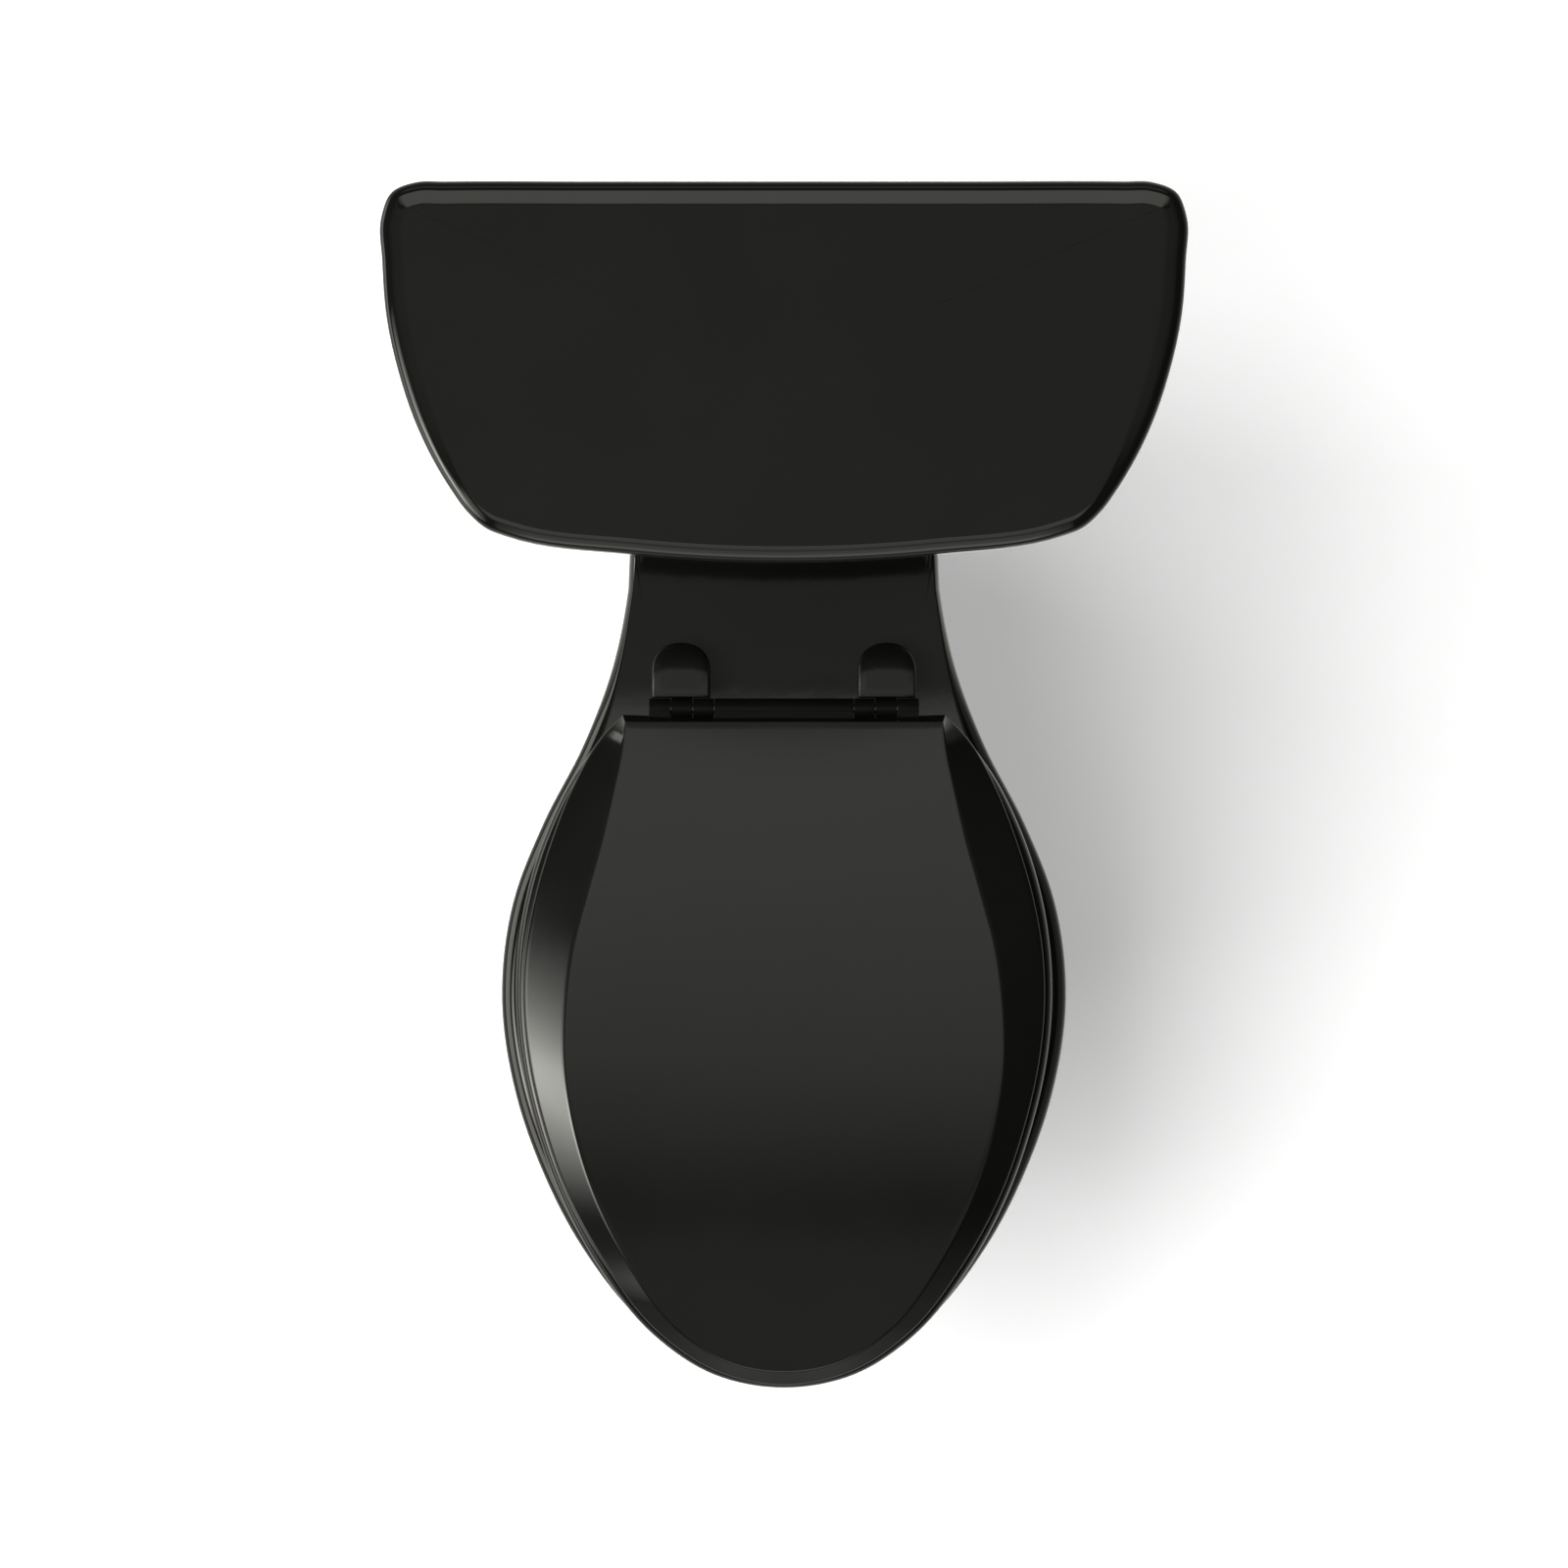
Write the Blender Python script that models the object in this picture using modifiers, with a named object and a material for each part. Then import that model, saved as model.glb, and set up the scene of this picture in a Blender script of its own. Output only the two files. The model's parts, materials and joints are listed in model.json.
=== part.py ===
"""A close coupled toilet: a glazed bowl and pedestal, a cistern tank that sits on its shelf, and a hinged seat.

Units are metres. +Z is up, the wall is on the +Y side and the user sits facing -Y. The origin is on the
floor, under the middle of the whole object's plan.
"""

import math

import bmesh
import bpy
import numpy as np
from mathutils import Matrix

# ---------------------------------------------------------------- driving dimensions
GAP = 0.0003  # between pieces that rest on each other
SIDES = (("left", -1), ("right", 1))

RIM_Z = 0.419  # the bowl's rim and seat deck
SHELF_RISE = 0.021  # the tank shelf stands this far above the seat deck
SHELF_Z = RIM_Z + SHELF_RISE
SHELF_Y = (0.150, 0.188)  # where the ramp up to the shelf starts and ends

BACK_Y = 0.3883  # the back edge of the tank lid
LID_DEPTH = 0.2395
LID_Z = (0.7368, 0.775)
LID_OVERHANG = 0.012
TANK_Z = (0.4455, 0.7365)
TANK_WALL = 0.010
TANK_FLOOR_Z = 0.4575
TANK_BACK_Y = BACK_Y - LID_OVERHANG

VALVE_Y = 0.285  # the flush valve, the spud and the bowl's inlet are on this line
TANK_BOLT_X = 0.080
FILL_XY = (-0.135, 0.255)
OVERFLOW_Y = 0.234
FLAPPER_AXIS_Z = 0.500
CHAIN_Y = 0.322

LEVER_Y, LEVER_Z = 0.265, 0.692
LEVER_FLAT_X = (-0.2285, -0.2185)  # outer and inner flats on the tank's left wall
ARM_Z = 0.706

FLANGE_Z = 0.0362  # the top of the foot round the floor bolts
OUTLET_Y = 0.105  # the outlet and the floor bolts, 305 mm from the wall
FLOOR_BOLT_X = 0.0762
TRAP_R, TRAP_WALL = 0.026, 0.008

SEAT_NUT_Z, TANK_NUT_Z = 0.3850, 0.4080  # the faces under the deck that the nuts draw up to

HINGE_Y, HINGE_Z = 0.0588, 0.440
KNUCKLE_R, PIN_R, PIN_CLEARANCE = 0.0065, 0.003, 0.0003
COVER_BAR_X = 0.0458
SEAT_KNUCKLE_X = (0.0464, 0.0598)
POST_KNUCKLE_X = (0.0604, 0.0742)
COVER_KNUCKLE_X = (0.0748, 0.0887)
POST_X = (0.0487, 0.0868)
POST_Y = (0.0658, 0.1020)
SEAT_BOLT_X, SEAT_BOLT_Y = 0.06985, 0.0820
CAP_AXIS = (0.1015, 0.4305)

SEAT_Z = (0.4235, 0.4410)
COVER_Z = (0.4428, 0.4460, 0.4570)  # skirt foot, skirt top, flat panel
COVER_WALL = 0.0035

SMOOTH_ANGLE = math.radians(40)

# ---------------------------------------------------------------- outlines, in plan
# Each is the right half, from the back centre to the front centre.
# The tank lid: x, and the distance forward of the lid's back edge.
LID_HALF = [
    (0.0, 0.0), (0.120, 0.0), (0.2140, 0.0), (0.2310, 0.0003), (0.2470, 0.0068), (0.2537, 0.0230), (0.2530, 0.0500),
    (0.2505, 0.0838), (0.2425, 0.1207), (0.2296, 0.1576), (0.2093, 0.1946), (0.2004, 0.2069),
    (0.1871, 0.2187), (0.1760, 0.2230), (0.0967, 0.2345), (0.0, LID_DEPTH),
]
# The seat cover's skirt and its flat panel, station by station. Station 2 is a sharp back corner.
COVER_CORNER = 2
SKIRT_HALF = [
    (0.0, 0.0530), (0.060, 0.0530), (0.1060, 0.0545), (0.1215, 0.0380), (0.1385, 0.0080), (0.1525, -0.0270),
    (0.1635, -0.0640), (0.1700, -0.1000), (0.1713, -0.1370), (0.1675, -0.1750), (0.1590, -0.2130),
    (0.1430, -0.2600), (0.1170, -0.3080), (0.0840, -0.3500), (0.0450, -0.3765), (0.0, -0.3857),
]
PANEL_HALF = [
    (0.0, 0.0497), (0.060, 0.0497), (0.1045, 0.0497), (0.1062, 0.0320), (0.1110, 0.0070), (0.1185, -0.0270),
    (0.1290, -0.0650), (0.1382, -0.1000), (0.1432, -0.1380), (0.1440, -0.1750), (0.1392, -0.2110),
    (0.1260, -0.2570), (0.1030, -0.3040), (0.0700, -0.3490), (0.0360, -0.3705), (0.0, -0.3767),
]
# The seat ring's outer edge and its opening.
SEAT_HALF = [
    (0.0, 0.0470), (0.060, 0.0470), (0.1000, 0.0460), (0.1180, 0.0400), (0.1330, 0.0220), (0.1565, -0.0230),
    (0.1680, -0.0580), (0.1748, -0.0950), (0.1765, -0.1350), (0.1725, -0.1760), (0.1635, -0.2150),
    (0.1470, -0.2620), (0.1205, -0.3110), (0.0865, -0.3530), (0.0465, -0.3795), (0.0, -0.3883),
]
SEAT_OPENING = (0.1050, -0.1500, -0.3180, -0.0300)  # half width, its y, front y, back y

# An elongated egg's front, as shares of its half width and of its length ahead of the widest point.
EGG_FRONT = [(0.95, 0.253), (0.856, 0.455), (0.714, 0.658), (0.4895, 0.8605), (0.268, 0.962), (0.0, 1.0)]
# The flare from the neck to the widest point, as shares of the way across and of the way forward.
FLARE = [(0.122, 0.19), (0.353, 0.38), (0.671, 0.571), (0.910, 0.762)]
EGG_BACK_SPANS = 9
DECK_CORNER = 0.030

# The bowl's outside, level by level: z, front y, half width, its y, neck half width, its y, back half width, back y.
BOWL_LEVELS = [
    (0.0000, -0.2080, 0.1100, -0.0500, 0.1120, 0.105, 0.0800, 0.2050),
    (0.0270, -0.2075, 0.1090, -0.0500, 0.1110, 0.105, 0.0795, 0.2045),
    (0.0355, -0.2000, 0.1010, -0.0510, 0.1000, 0.105, 0.0730, 0.1980),
    (FLANGE_Z, -0.1920, 0.0940, -0.0520, 0.0540, 0.105, 0.0560, 0.1870),
    (0.1000, -0.1800, 0.0850, -0.0650, 0.0465, 0.100, 0.0520, 0.1830),
    (0.1800, -0.1980, 0.0940, -0.0900, 0.0460, 0.080, 0.0520, 0.1850),
    (0.2500, -0.2560, 0.1230, -0.1170, 0.0470, 0.067, 0.0550, 0.1940),
    (0.3200, -0.3250, 0.1590, -0.1300, 0.0485, 0.064, 0.0640, 0.2180),
    (0.3760, -0.3680, 0.1805, -0.1330, 0.0520, 0.068, 0.0880, 0.2750),
    (0.3860, -0.3740, 0.1830, -0.1330, 0.0920, 0.130, 0.1080, 0.3200),
    (0.4020, -0.3828, 0.1864, -0.1330, 0.1028, 0.138, 0.1158, 0.3448),
    (0.4140, -0.3824, 0.1861, -0.1330, 0.1025, 0.138, 0.1155, 0.3445),
    (0.4190, -0.3772, 0.1814, -0.1330, 0.0979, 0.138, 0.1109, 0.3399),
]
SHELF_BLEND_Z = (0.30, 0.376)  # levels above this rise with the shelf
# How far in from the deck's edge towards the rim its loops lie, as shares of the way at the back.
DECK_SHARES = (0.25, 0.487, 0.54, 0.588, 0.635, 0.82)

# The well inside the bowl, from the rim's inner edge down: z, half width, its y, front y, back y.
WELL_LEVELS = [
    (0.4190, 0.1262, -0.140, -0.3402, 0.0362),
    (0.4150, 0.1215, -0.140, -0.3355, 0.0315),
    (0.3780, 0.1200, -0.140, -0.3340, 0.0300),
    (0.3760, 0.1460, -0.138, -0.3450, 0.0380),
    (0.3150, 0.1300, -0.134, -0.3030, 0.0290),
    (0.2500, 0.0950, -0.120, -0.2300, 0.0080),
    (0.1950, 0.0590, -0.092, -0.1600, -0.0120),
    (0.1540, 0.0230, -0.074, -0.0970, -0.0460),
]
# The hollow of the pedestal, open to the floor, in the terms of the bowl's outside.
PEDESTAL_HOLLOW = [
    (-0.0100, -0.1780, 0.0810, -0.0520, 0.0420, 0.105, 0.0440, 0.1750),
    (0.0362, -0.1780, 0.0810, -0.0520, 0.0420, 0.105, 0.0440, 0.1750),
    (0.1000, -0.1670, 0.0730, -0.0650, 0.0348, 0.100, 0.0400, 0.1720),
    (0.1800, -0.1850, 0.0820, -0.0900, 0.0346, 0.080, 0.0400, 0.1750),
    (0.2500, -0.2100, 0.1000, -0.1100, 0.0350, 0.067, 0.0430, 0.1830),
    (0.3200, 0.0200, 0.0370, 0.0500, 0.0365, 0.064, 0.0520, 0.2060),
    (0.3760, 0.0540, 0.0390, 0.0640, 0.0400, 0.068, 0.0740, 0.2620),
]
WELL_WALL = 0.012

# Centre lines of the passages in the china, as (y, z) on the middle plane. The trapway's first stretch, up to
# point TRAP_SPLIT, is bored in the bowl, and the rest is a pipe inside the pedestal.
TRAPWAY = [
    (-0.085, 0.180), (-0.040, 0.170), (0.000, 0.1740), (0.032, 0.1915), (0.0665, 0.2265), (0.0773, 0.2507),
    (0.1035, 0.2615), (0.1297, 0.2507), (0.1405, 0.2245), (0.1385, 0.175), (0.129, 0.120), (0.1145, 0.070),
    (OUTLET_Y, 0.020), (OUTLET_Y, 0.001),
]
TRAP_SPLIT = 3
INLET = [(VALVE_Y, 0.440), (VALVE_Y, 0.415), (0.262, 0.398), (0.200, 0.388), (0.110, 0.376), (0.020, 0.360)]
INLET_R = 0.018

MATERIALS = {
    "glazed_china": ((0.012, 0.012, 0.011), 0.06, 0.0),
    "seat_plastic": ((0.014, 0.014, 0.013), 0.12, 0.0),
    "lever_enamel": ((0.012, 0.012, 0.012), 0.15, 0.0),
    "black_rubber": ((0.02, 0.02, 0.02), 0.70, 0.0),
    "red_rubber": ((0.42, 0.05, 0.04), 0.55, 0.0),
    "white_plastic": ((0.80, 0.80, 0.77), 0.35, 0.0),
    "grey_plastic": ((0.30, 0.31, 0.32), 0.40, 0.0),
    "brass": ((0.72, 0.52, 0.24), 0.30, 1.0),
    "steel": ((0.62, 0.62, 0.62), 0.28, 1.0),
    "vinyl_tube": ((0.10, 0.10, 0.10), 0.35, 0.0),
}


# ---------------------------------------------------------------- scene, materials and objects
def clear_scene():
    for obj in list(bpy.data.objects):
        bpy.data.objects.remove(obj)


def make_collection(name):
    collection = bpy.data.collections.new(name)
    bpy.context.scene.collection.children.link(collection)
    return collection


def make_material(name):
    colour, roughness, metallic = MATERIALS[name]
    material = bpy.data.materials.new(name)
    material.use_nodes = True
    shader = material.node_tree.nodes["Principled BSDF"]
    shader.inputs["Base Color"].default_value = (*colour, 1.0)
    shader.inputs["Roughness"].default_value = roughness
    shader.inputs["Metallic"].default_value = metallic
    return material


clear_scene()
PARTS = make_collection("close_coupled_toilet")
CUTTERS = make_collection("cutters")
SURFACES = {name: make_material(name) for name in MATERIALS}


def add_object(name, mesh, surface):
    """A part in the named material, or a cutter where surface is None."""
    obj = bpy.data.objects.new(name, mesh)
    if surface is None:
        obj.hide_render = True
        obj.display_type = "WIRE"
        CUTTERS.objects.link(obj)
        return obj
    PARTS.objects.link(obj)
    mesh.materials.append(SURFACES[surface])
    mesh.shade_smooth()
    mesh.set_sharp_from_angle(angle=SMOOTH_ANGLE)
    return obj


def object_from_bmesh(name, bm, surface):
    bmesh.ops.recalc_face_normals(bm, faces=bm.faces)
    mesh = bpy.data.meshes.new(name)
    bm.to_mesh(mesh)
    bm.free()
    return add_object(name, mesh, surface)


def boolean(obj, other, operation="DIFFERENCE"):
    modifier = obj.modifiers.new(f"{operation.lower()}_{other.name}", "BOOLEAN")
    modifier.operation = operation
    modifier.object = other


def bevel(obj, width, segments=2):
    modifier = obj.modifiers.new("bevel", "BEVEL")
    modifier.width = width
    modifier.segments = segments
    modifier.limit_method = "ANGLE"
    modifier.angle_limit = SMOOTH_ANGLE


# ---------------------------------------------------------------- curves and outlines
def smooth_points(run, steps):
    """Points on a smooth curve through run[1:-1]. Its first and last entries only set the end directions."""
    run = [np.array(p, float) for p in run]
    gaps = [np.linalg.norm(b - a) for a, b in zip(run, run[1:])]

    def slope(i):
        back = (run[i] - run[i - 1]) / gaps[i - 1]
        ahead = (run[i + 1] - run[i]) / gaps[i]
        return (back * gaps[i] + ahead * gaps[i - 1]) / (gaps[i] + gaps[i - 1])

    points = []
    for i in range(1, len(run) - 2):
        a, b = run[i], run[i + 1]
        leave, arrive = slope(i) * gaps[i], slope(i + 1) * gaps[i]
        for k in range(steps):
            t = k / steps
            points.append(
                a * (2 * t**3 - 3 * t**2 + 1) + leave * (t**3 - 2 * t**2 + t)
                + b * (3 * t**2 - 2 * t**3) + arrive * (t**3 - t**2)
            )
    return points + [run[-2]]


def open_curve(points, steps):
    """A smooth curve through every point, ends included."""
    points = [np.array(p, float) for p in points]
    before, after = 2 * points[0] - points[1], 2 * points[-1] - points[-2]
    return smooth_points([before, *points, after], steps)


def closed_outline(half, steps, corner=None):
    """The whole outline from its right half, which starts and ends on the middle plane."""
    half = [np.array(p, float) for p in half]
    flip = np.array([-1.0, 1.0])
    if corner is None:
        right = smooth_points([half[1] * flip, *half, half[-2] * flip], steps)
    else:
        back, rest = half[: corner + 1], half[corner:]
        right = smooth_points([back[1] * flip, *back, 2 * back[-1] - back[-2]], steps)[:-1]
        right += smooth_points([2 * rest[0] - rest[1], *rest, rest[-2] * flip], steps)
    return np.array(right + [p * flip for p in reversed(right[1:-1])])


def inset(outline, distance):
    """The outline moved inwards by distance along its normals. Outlines run clockwise seen from above."""
    ahead, behind = np.roll(outline, -1, axis=0), np.roll(outline, 1, axis=0)
    along = ahead - behind
    along /= np.linalg.norm(along, axis=1)[:, None]
    return outline + distance * np.column_stack([along[:, 1], -along[:, 0]])


def egg_half(half_width, widest_y, front_y, back_y):
    back = []
    for i in range(EGG_BACK_SPANS):
        angle = math.pi / 2 * (1 - i / EGG_BACK_SPANS)
        back.append((half_width * math.cos(angle), widest_y + (back_y - widest_y) * math.sin(angle)))
    front = [(half_width * across, widest_y + (front_y - widest_y) * ahead) for across, ahead in EGG_FRONT]
    return [*back, (half_width, widest_y), *front]


def bowl_half(front_y, half_width, widest_y, neck, neck_y, back, back_y):
    corner = DECK_CORNER
    deck = [
        (0.0, back_y), (back - corner, back_y), (back - 0.29 * corner, back_y - 0.29 * corner),
        (back, back_y - corner), (neck, neck_y),
    ]
    flare = [
        (neck + (half_width - neck) * across, neck_y + (widest_y - neck_y) * ahead) for across, ahead in FLARE
    ]
    front = [(half_width * across, widest_y + (front_y - widest_y) * ahead) for across, ahead in EGG_FRONT]
    return [*deck, *flare, (half_width, widest_y), *front]


def at_height(outline, z):
    return np.column_stack([outline, np.full(len(outline), z)])


def smooth_step(value, low, high):
    t = np.clip((value - low) / (high - low), 0.0, 1.0)
    return t * t * (3 - 2 * t)


def raise_shelf(loop):
    """The loop with its back part lifted to the tank shelf, in full above SHELF_BLEND_Z."""
    lifted = loop.copy()
    share = smooth_step(loop[:, 2], *SHELF_BLEND_Z)
    lifted[:, 2] += SHELF_RISE * share * smooth_step(loop[:, 1], *SHELF_Y)
    return lifted


# ---------------------------------------------------------------- solids
def loft(name, loops, surface, ring=False):
    """A skin through loops of equally many points. Its ends are capped, or joined where ring is set."""
    bm = bmesh.new()
    rows = [[bm.verts.new(p) for p in loop] for loop in loops]
    pairs = list(zip(rows, rows[1:]))
    if ring:
        pairs.append((rows[-1], rows[0]))
    else:
        bm.faces.new(rows[0])
        bm.faces.new(rows[-1])
    for lower, upper in pairs:
        for i in range(len(lower)):
            bm.faces.new((lower[i - 1], lower[i], upper[i], upper[i - 1]))
    return object_from_bmesh(name, bm, surface)


def box(name, low, high, surface):
    bm = bmesh.new()
    bmesh.ops.create_cube(bm, size=1.0)
    size = [b - a for a, b in zip(low, high)]
    bmesh.ops.scale(bm, vec=size, verts=bm.verts)
    bmesh.ops.translate(bm, vec=[(a + b) / 2 for a, b in zip(low, high)], verts=bm.verts)
    return object_from_bmesh(name, bm, surface)


def cylinder(name, start, end, radius, surface, end_radius=None, segments=16):
    """A cylinder or cone between two points that differ along one axis only."""
    start, end = np.array(start, float), np.array(end, float)
    along = end - start
    bm = bmesh.new()
    bmesh.ops.create_cone(
        bm, cap_ends=True, segments=segments, radius1=radius, radius2=end_radius or radius,
        depth=float(np.linalg.norm(along)),
    )
    mesh = bpy.data.meshes.new(name)
    bm.to_mesh(mesh)
    bm.free()
    obj = add_object(name, mesh, surface)
    turn = {0: (0, math.pi / 2, 0), 1: (-math.pi / 2, 0, 0), 2: (0, 0, 0)}[int(np.argmax(np.abs(along)))]
    obj.rotation_euler = turn
    obj.location = (start + end) / 2
    return obj


def turned(name, profile, centre, surface, steps=24):
    """A profile of (radius, z) turned about the vertical through centre. The profile runs down its outer side.

    A profile that starts and ends on the axis makes a solid; any other is closed into a ring."""
    mesh = bpy.data.meshes.new(name)
    count = len(profile)
    solid = profile[0][0] == 0 and profile[-1][0] == 0
    edges = [(i, i + 1) for i in range(count - 1)] + ([] if solid else [(count - 1, 0)])
    mesh.from_pydata([(r, 0, z) for r, z in profile], edges, [])
    obj = add_object(name, mesh, surface)
    obj.location = (*centre, 0)
    screw = obj.modifiers.new("turn", "SCREW")
    screw.steps = screw.render_steps = steps
    screw.use_merge_vertices = True
    screw.merge_threshold = 0.00001
    return obj


def ring(name, centre, radii, heights, surface, steps=16):
    inner, outer = radii
    low, high = heights
    return turned(name, [(inner, high), (outer, high), (outer, low), (inner, low)], centre, surface, steps)


def tube(name, points, radius, surface, resolution=2):
    """A round bar or tube along points, with flat ends."""
    curve = bpy.data.curves.new(name, "CURVE")
    curve.dimensions = "3D"
    curve.bevel_depth = radius
    curve.bevel_resolution = resolution
    curve.use_fill_caps = True
    spline = curve.splines.new("POLY")
    spline.points.add(len(points) - 1)
    for point, place in zip(spline.points, points):
        point.co = (*place, 1.0)
    obj = bpy.data.objects.new(name, curve)
    PARTS.objects.link(obj)
    if surface is not None:
        curve.materials.append(SURFACES[surface])
        return obj
    return mesh_of(obj, None)


def mesh_of(curve_obj, surface):
    """The curve made a closed mesh, so that it can be cut or be a cutter."""
    bpy.context.view_layer.update()
    name = curve_obj.name
    evaluated = curve_obj.evaluated_get(bpy.context.evaluated_depsgraph_get())
    mesh = bpy.data.meshes.new_from_object(evaluated)
    place = curve_obj.matrix_world.copy()
    bpy.data.objects.remove(curve_obj)
    bm = bmesh.new()
    bm.from_mesh(mesh)
    bmesh.ops.remove_doubles(bm, verts=bm.verts, dist=0.00001)
    bm.to_mesh(mesh)
    bm.free()
    mesh.materials.clear()
    obj = add_object(name, mesh, surface)
    obj.matrix_world = place
    return obj


def hexagon_nut(name, centre, flats, bore, heights, surface):
    nut = cylinder(name, (*centre, heights[0]), (*centre, heights[1]), flats / math.sqrt(3), surface, segments=6)
    hole = cylinder(f"{name}_bore", (*centre, heights[0] - 0.01), (*centre, heights[1] + 0.01), bore, None)
    boolean(nut, hole)
    return nut


def hang(name, place, pieces, parent=None):
    """An empty on a joint's axis, which carries the pieces that move with it."""
    empty = bpy.data.objects.new(name, None)
    empty.empty_display_size = 0.03
    PARTS.objects.link(empty)
    empty.location = place
    if parent is not None:
        empty.parent = parent
        empty.matrix_parent_inverse = Matrix.Translation(-parent.location)
    for piece in pieces:
        piece.parent = empty
        piece.matrix_parent_inverse = Matrix.Translation(-empty.location)
    return empty


# ---------------------------------------------------------------- the bowl
def make_bowl():
    steps = 2
    outside = [raise_shelf(at_height(closed_outline(bowl_half(*row[1:]), steps), row[0])) for row in BOWL_LEVELS]
    well = [at_height(closed_outline(egg_half(*row[1:]), steps), row[0]) for row in WELL_LEVELS]
    deck_edge, rim_edge = outside[-1], well[0]
    deck = []
    for share in DECK_SHARES:
        flat = deck_edge[:, :2] * (1 - share) + rim_edge[:, :2] * share
        deck.append(raise_shelf(at_height(flat, RIM_Z)))
    bowl = loft("bowl", [*outside, *deck, *well], "glazed_china")

    hollow = loft(
        "pedestal_hollow",
        [
            raise_shelf(at_height(closed_outline(bowl_half(*row[1:]), 1), row[0])) for row in PEDESTAL_HOLLOW
        ],
        None,
    )
    skin = loft(
        "well_skin",
        [
            at_height(inset(closed_outline(egg_half(*row[1:]), 1), -WELL_WALL), row[0] - WELL_WALL / 2)
            for row in WELL_LEVELS[3:]
        ],
        None,
    )
    mouth_line, _ = trapway_lines()
    inlet_line = open_curve([(0.0, y, z) for y, z in INLET], 2)
    mouth_skin = tube("mouth_skin", mouth_line[:-1], TRAP_R + TRAP_WALL, None)
    inlet_skin = tube("inlet_skin", inlet_line, INLET_R + TRAP_WALL, None)
    for wall in (skin, mouth_skin, inlet_skin):
        boolean(hollow, wall)
    mouth = tube("trapway_mouth", mouth_line, TRAP_R, None, resolution=3)
    inlet = tube("inlet", inlet_line, INLET_R, None, resolution=3)
    recess = cylinder("spud_recess", (0, VALVE_Y, 0.422), (0, VALVE_Y, 0.46), 0.055, None, segments=32)
    level = box("hinge_level", (-0.0900, 0.0500, RIM_Z + 0.0001), (0.0900, 0.1040, RIM_Z + 0.0200), None)
    for cutter in (hollow, mouth, inlet, recess, level):
        boolean(bowl, cutter)
    for side, sign in SIDES:
        holes = (
            ("seat", SEAT_BOLT_X, SEAT_BOLT_Y, 0.360, 0.46, 0.0065),
            ("seat_face", SEAT_BOLT_X, SEAT_BOLT_Y, 0.330, SEAT_NUT_Z, 0.0110),
            ("tank", TANK_BOLT_X, VALVE_Y, 0.360, 0.46, 0.0065),
            ("tank_face", TANK_BOLT_X, VALVE_Y, 0.360, TANK_NUT_Z, 0.0120),
            ("floor", FLOOR_BOLT_X, OUTLET_Y, -0.01, 0.06, 0.0065),
            ("floor_head", FLOOR_BOLT_X, OUTLET_Y, -0.01, 0.008, 0.0160),
        )
        for name, x, y, low, high, radius in holes:
            x *= sign
            hole = cylinder(f"{name}_hole_{side}", (x, y, low), (x, y, high), radius, None, segments=16)
            boolean(bowl, hole)


def trapway_lines():
    """The stretch bored in the bowl, with a last point past its end, and the pipe's stretch after a gap."""
    line = open_curve([(0.0, y, z) for y, z in TRAPWAY], 2)
    split = 2 * TRAP_SPLIT
    end, onward = line[split], line[split + 1] - line[split - 1]
    onward /= np.linalg.norm(onward)
    mouth = [*line[:split], end - 0.004 * onward, end, end + 0.010 * onward]
    return mouth, [end + GAP * onward, end + 0.004 * onward, *line[split + 1:]]


def make_trapway():
    _, line = trapway_lines()
    pipe = mesh_of(tube("trapway", line, TRAP_R + TRAP_WALL - 0.0010, "glazed_china"), "glazed_china")
    bend = line[1] - line[0]
    past = [line[0] - bend, *line, line[-1] - (0.0, 0.0, 0.020)]
    boolean(pipe, tube("trapway_bore", past, TRAP_R, None, resolution=3))


def make_floor_fixings():
    foot = FLANGE_Z + GAP
    for side, sign in SIDES:
        centre = (sign * FLOOR_BOLT_X, OUTLET_Y)
        bolt = cylinder(f"floor_bolt_{side}", (*centre, 0.003), (*centre, 0.0545), 0.0042, "brass", segments=16)
        head = cylinder(f"floor_bolt_head_{side}", (*centre, 0.0025), (*centre, 0.0065), 0.0125, None, segments=16)
        boolean(bolt, head, "UNION")
        ring(f"floor_washer_{side}", centre, (0.0055, 0.0125), (foot, foot + 0.0016), "steel")
        hexagon_nut(f"floor_nut_{side}", centre, 0.0127, 0.0048, (foot + 0.0019, foot + 0.0095), "brass")
        dome = [(0.0, foot + 0.0275), (0.0090, foot + 0.0260), (0.0138, foot + 0.0205), (0.0158, foot)]
        shell = [(0.0140, foot), (0.0124, foot + 0.0190), (0.0080, foot + 0.0240), (0.0, foot + 0.0255)]
        turned(f"floor_bolt_cap_{side}", dome + shell, centre, "seat_plastic", steps=20)


# ---------------------------------------------------------------- the tank and its lid
def lid_outline(steps):
    return closed_outline([(x, BACK_Y - ahead) for x, ahead in LID_HALF], steps)


def tank_loop(z, extra=0.0):
    """The tank's outline at height z: under the lid's overhang, drawn in towards the foot."""
    foot = 1.0 - float(smooth_step(z, TANK_Z[0] - 0.08, 0.68))
    outline = inset(lid_outline(2), LID_OVERHANG)
    outline[:, 0] *= 1 - 0.17 * foot
    outline[:, 1] = TANK_BACK_Y - (TANK_BACK_Y - outline[:, 1]) * (1 - 0.21 * foot)
    return at_height(inset(outline, extra), z)


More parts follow.
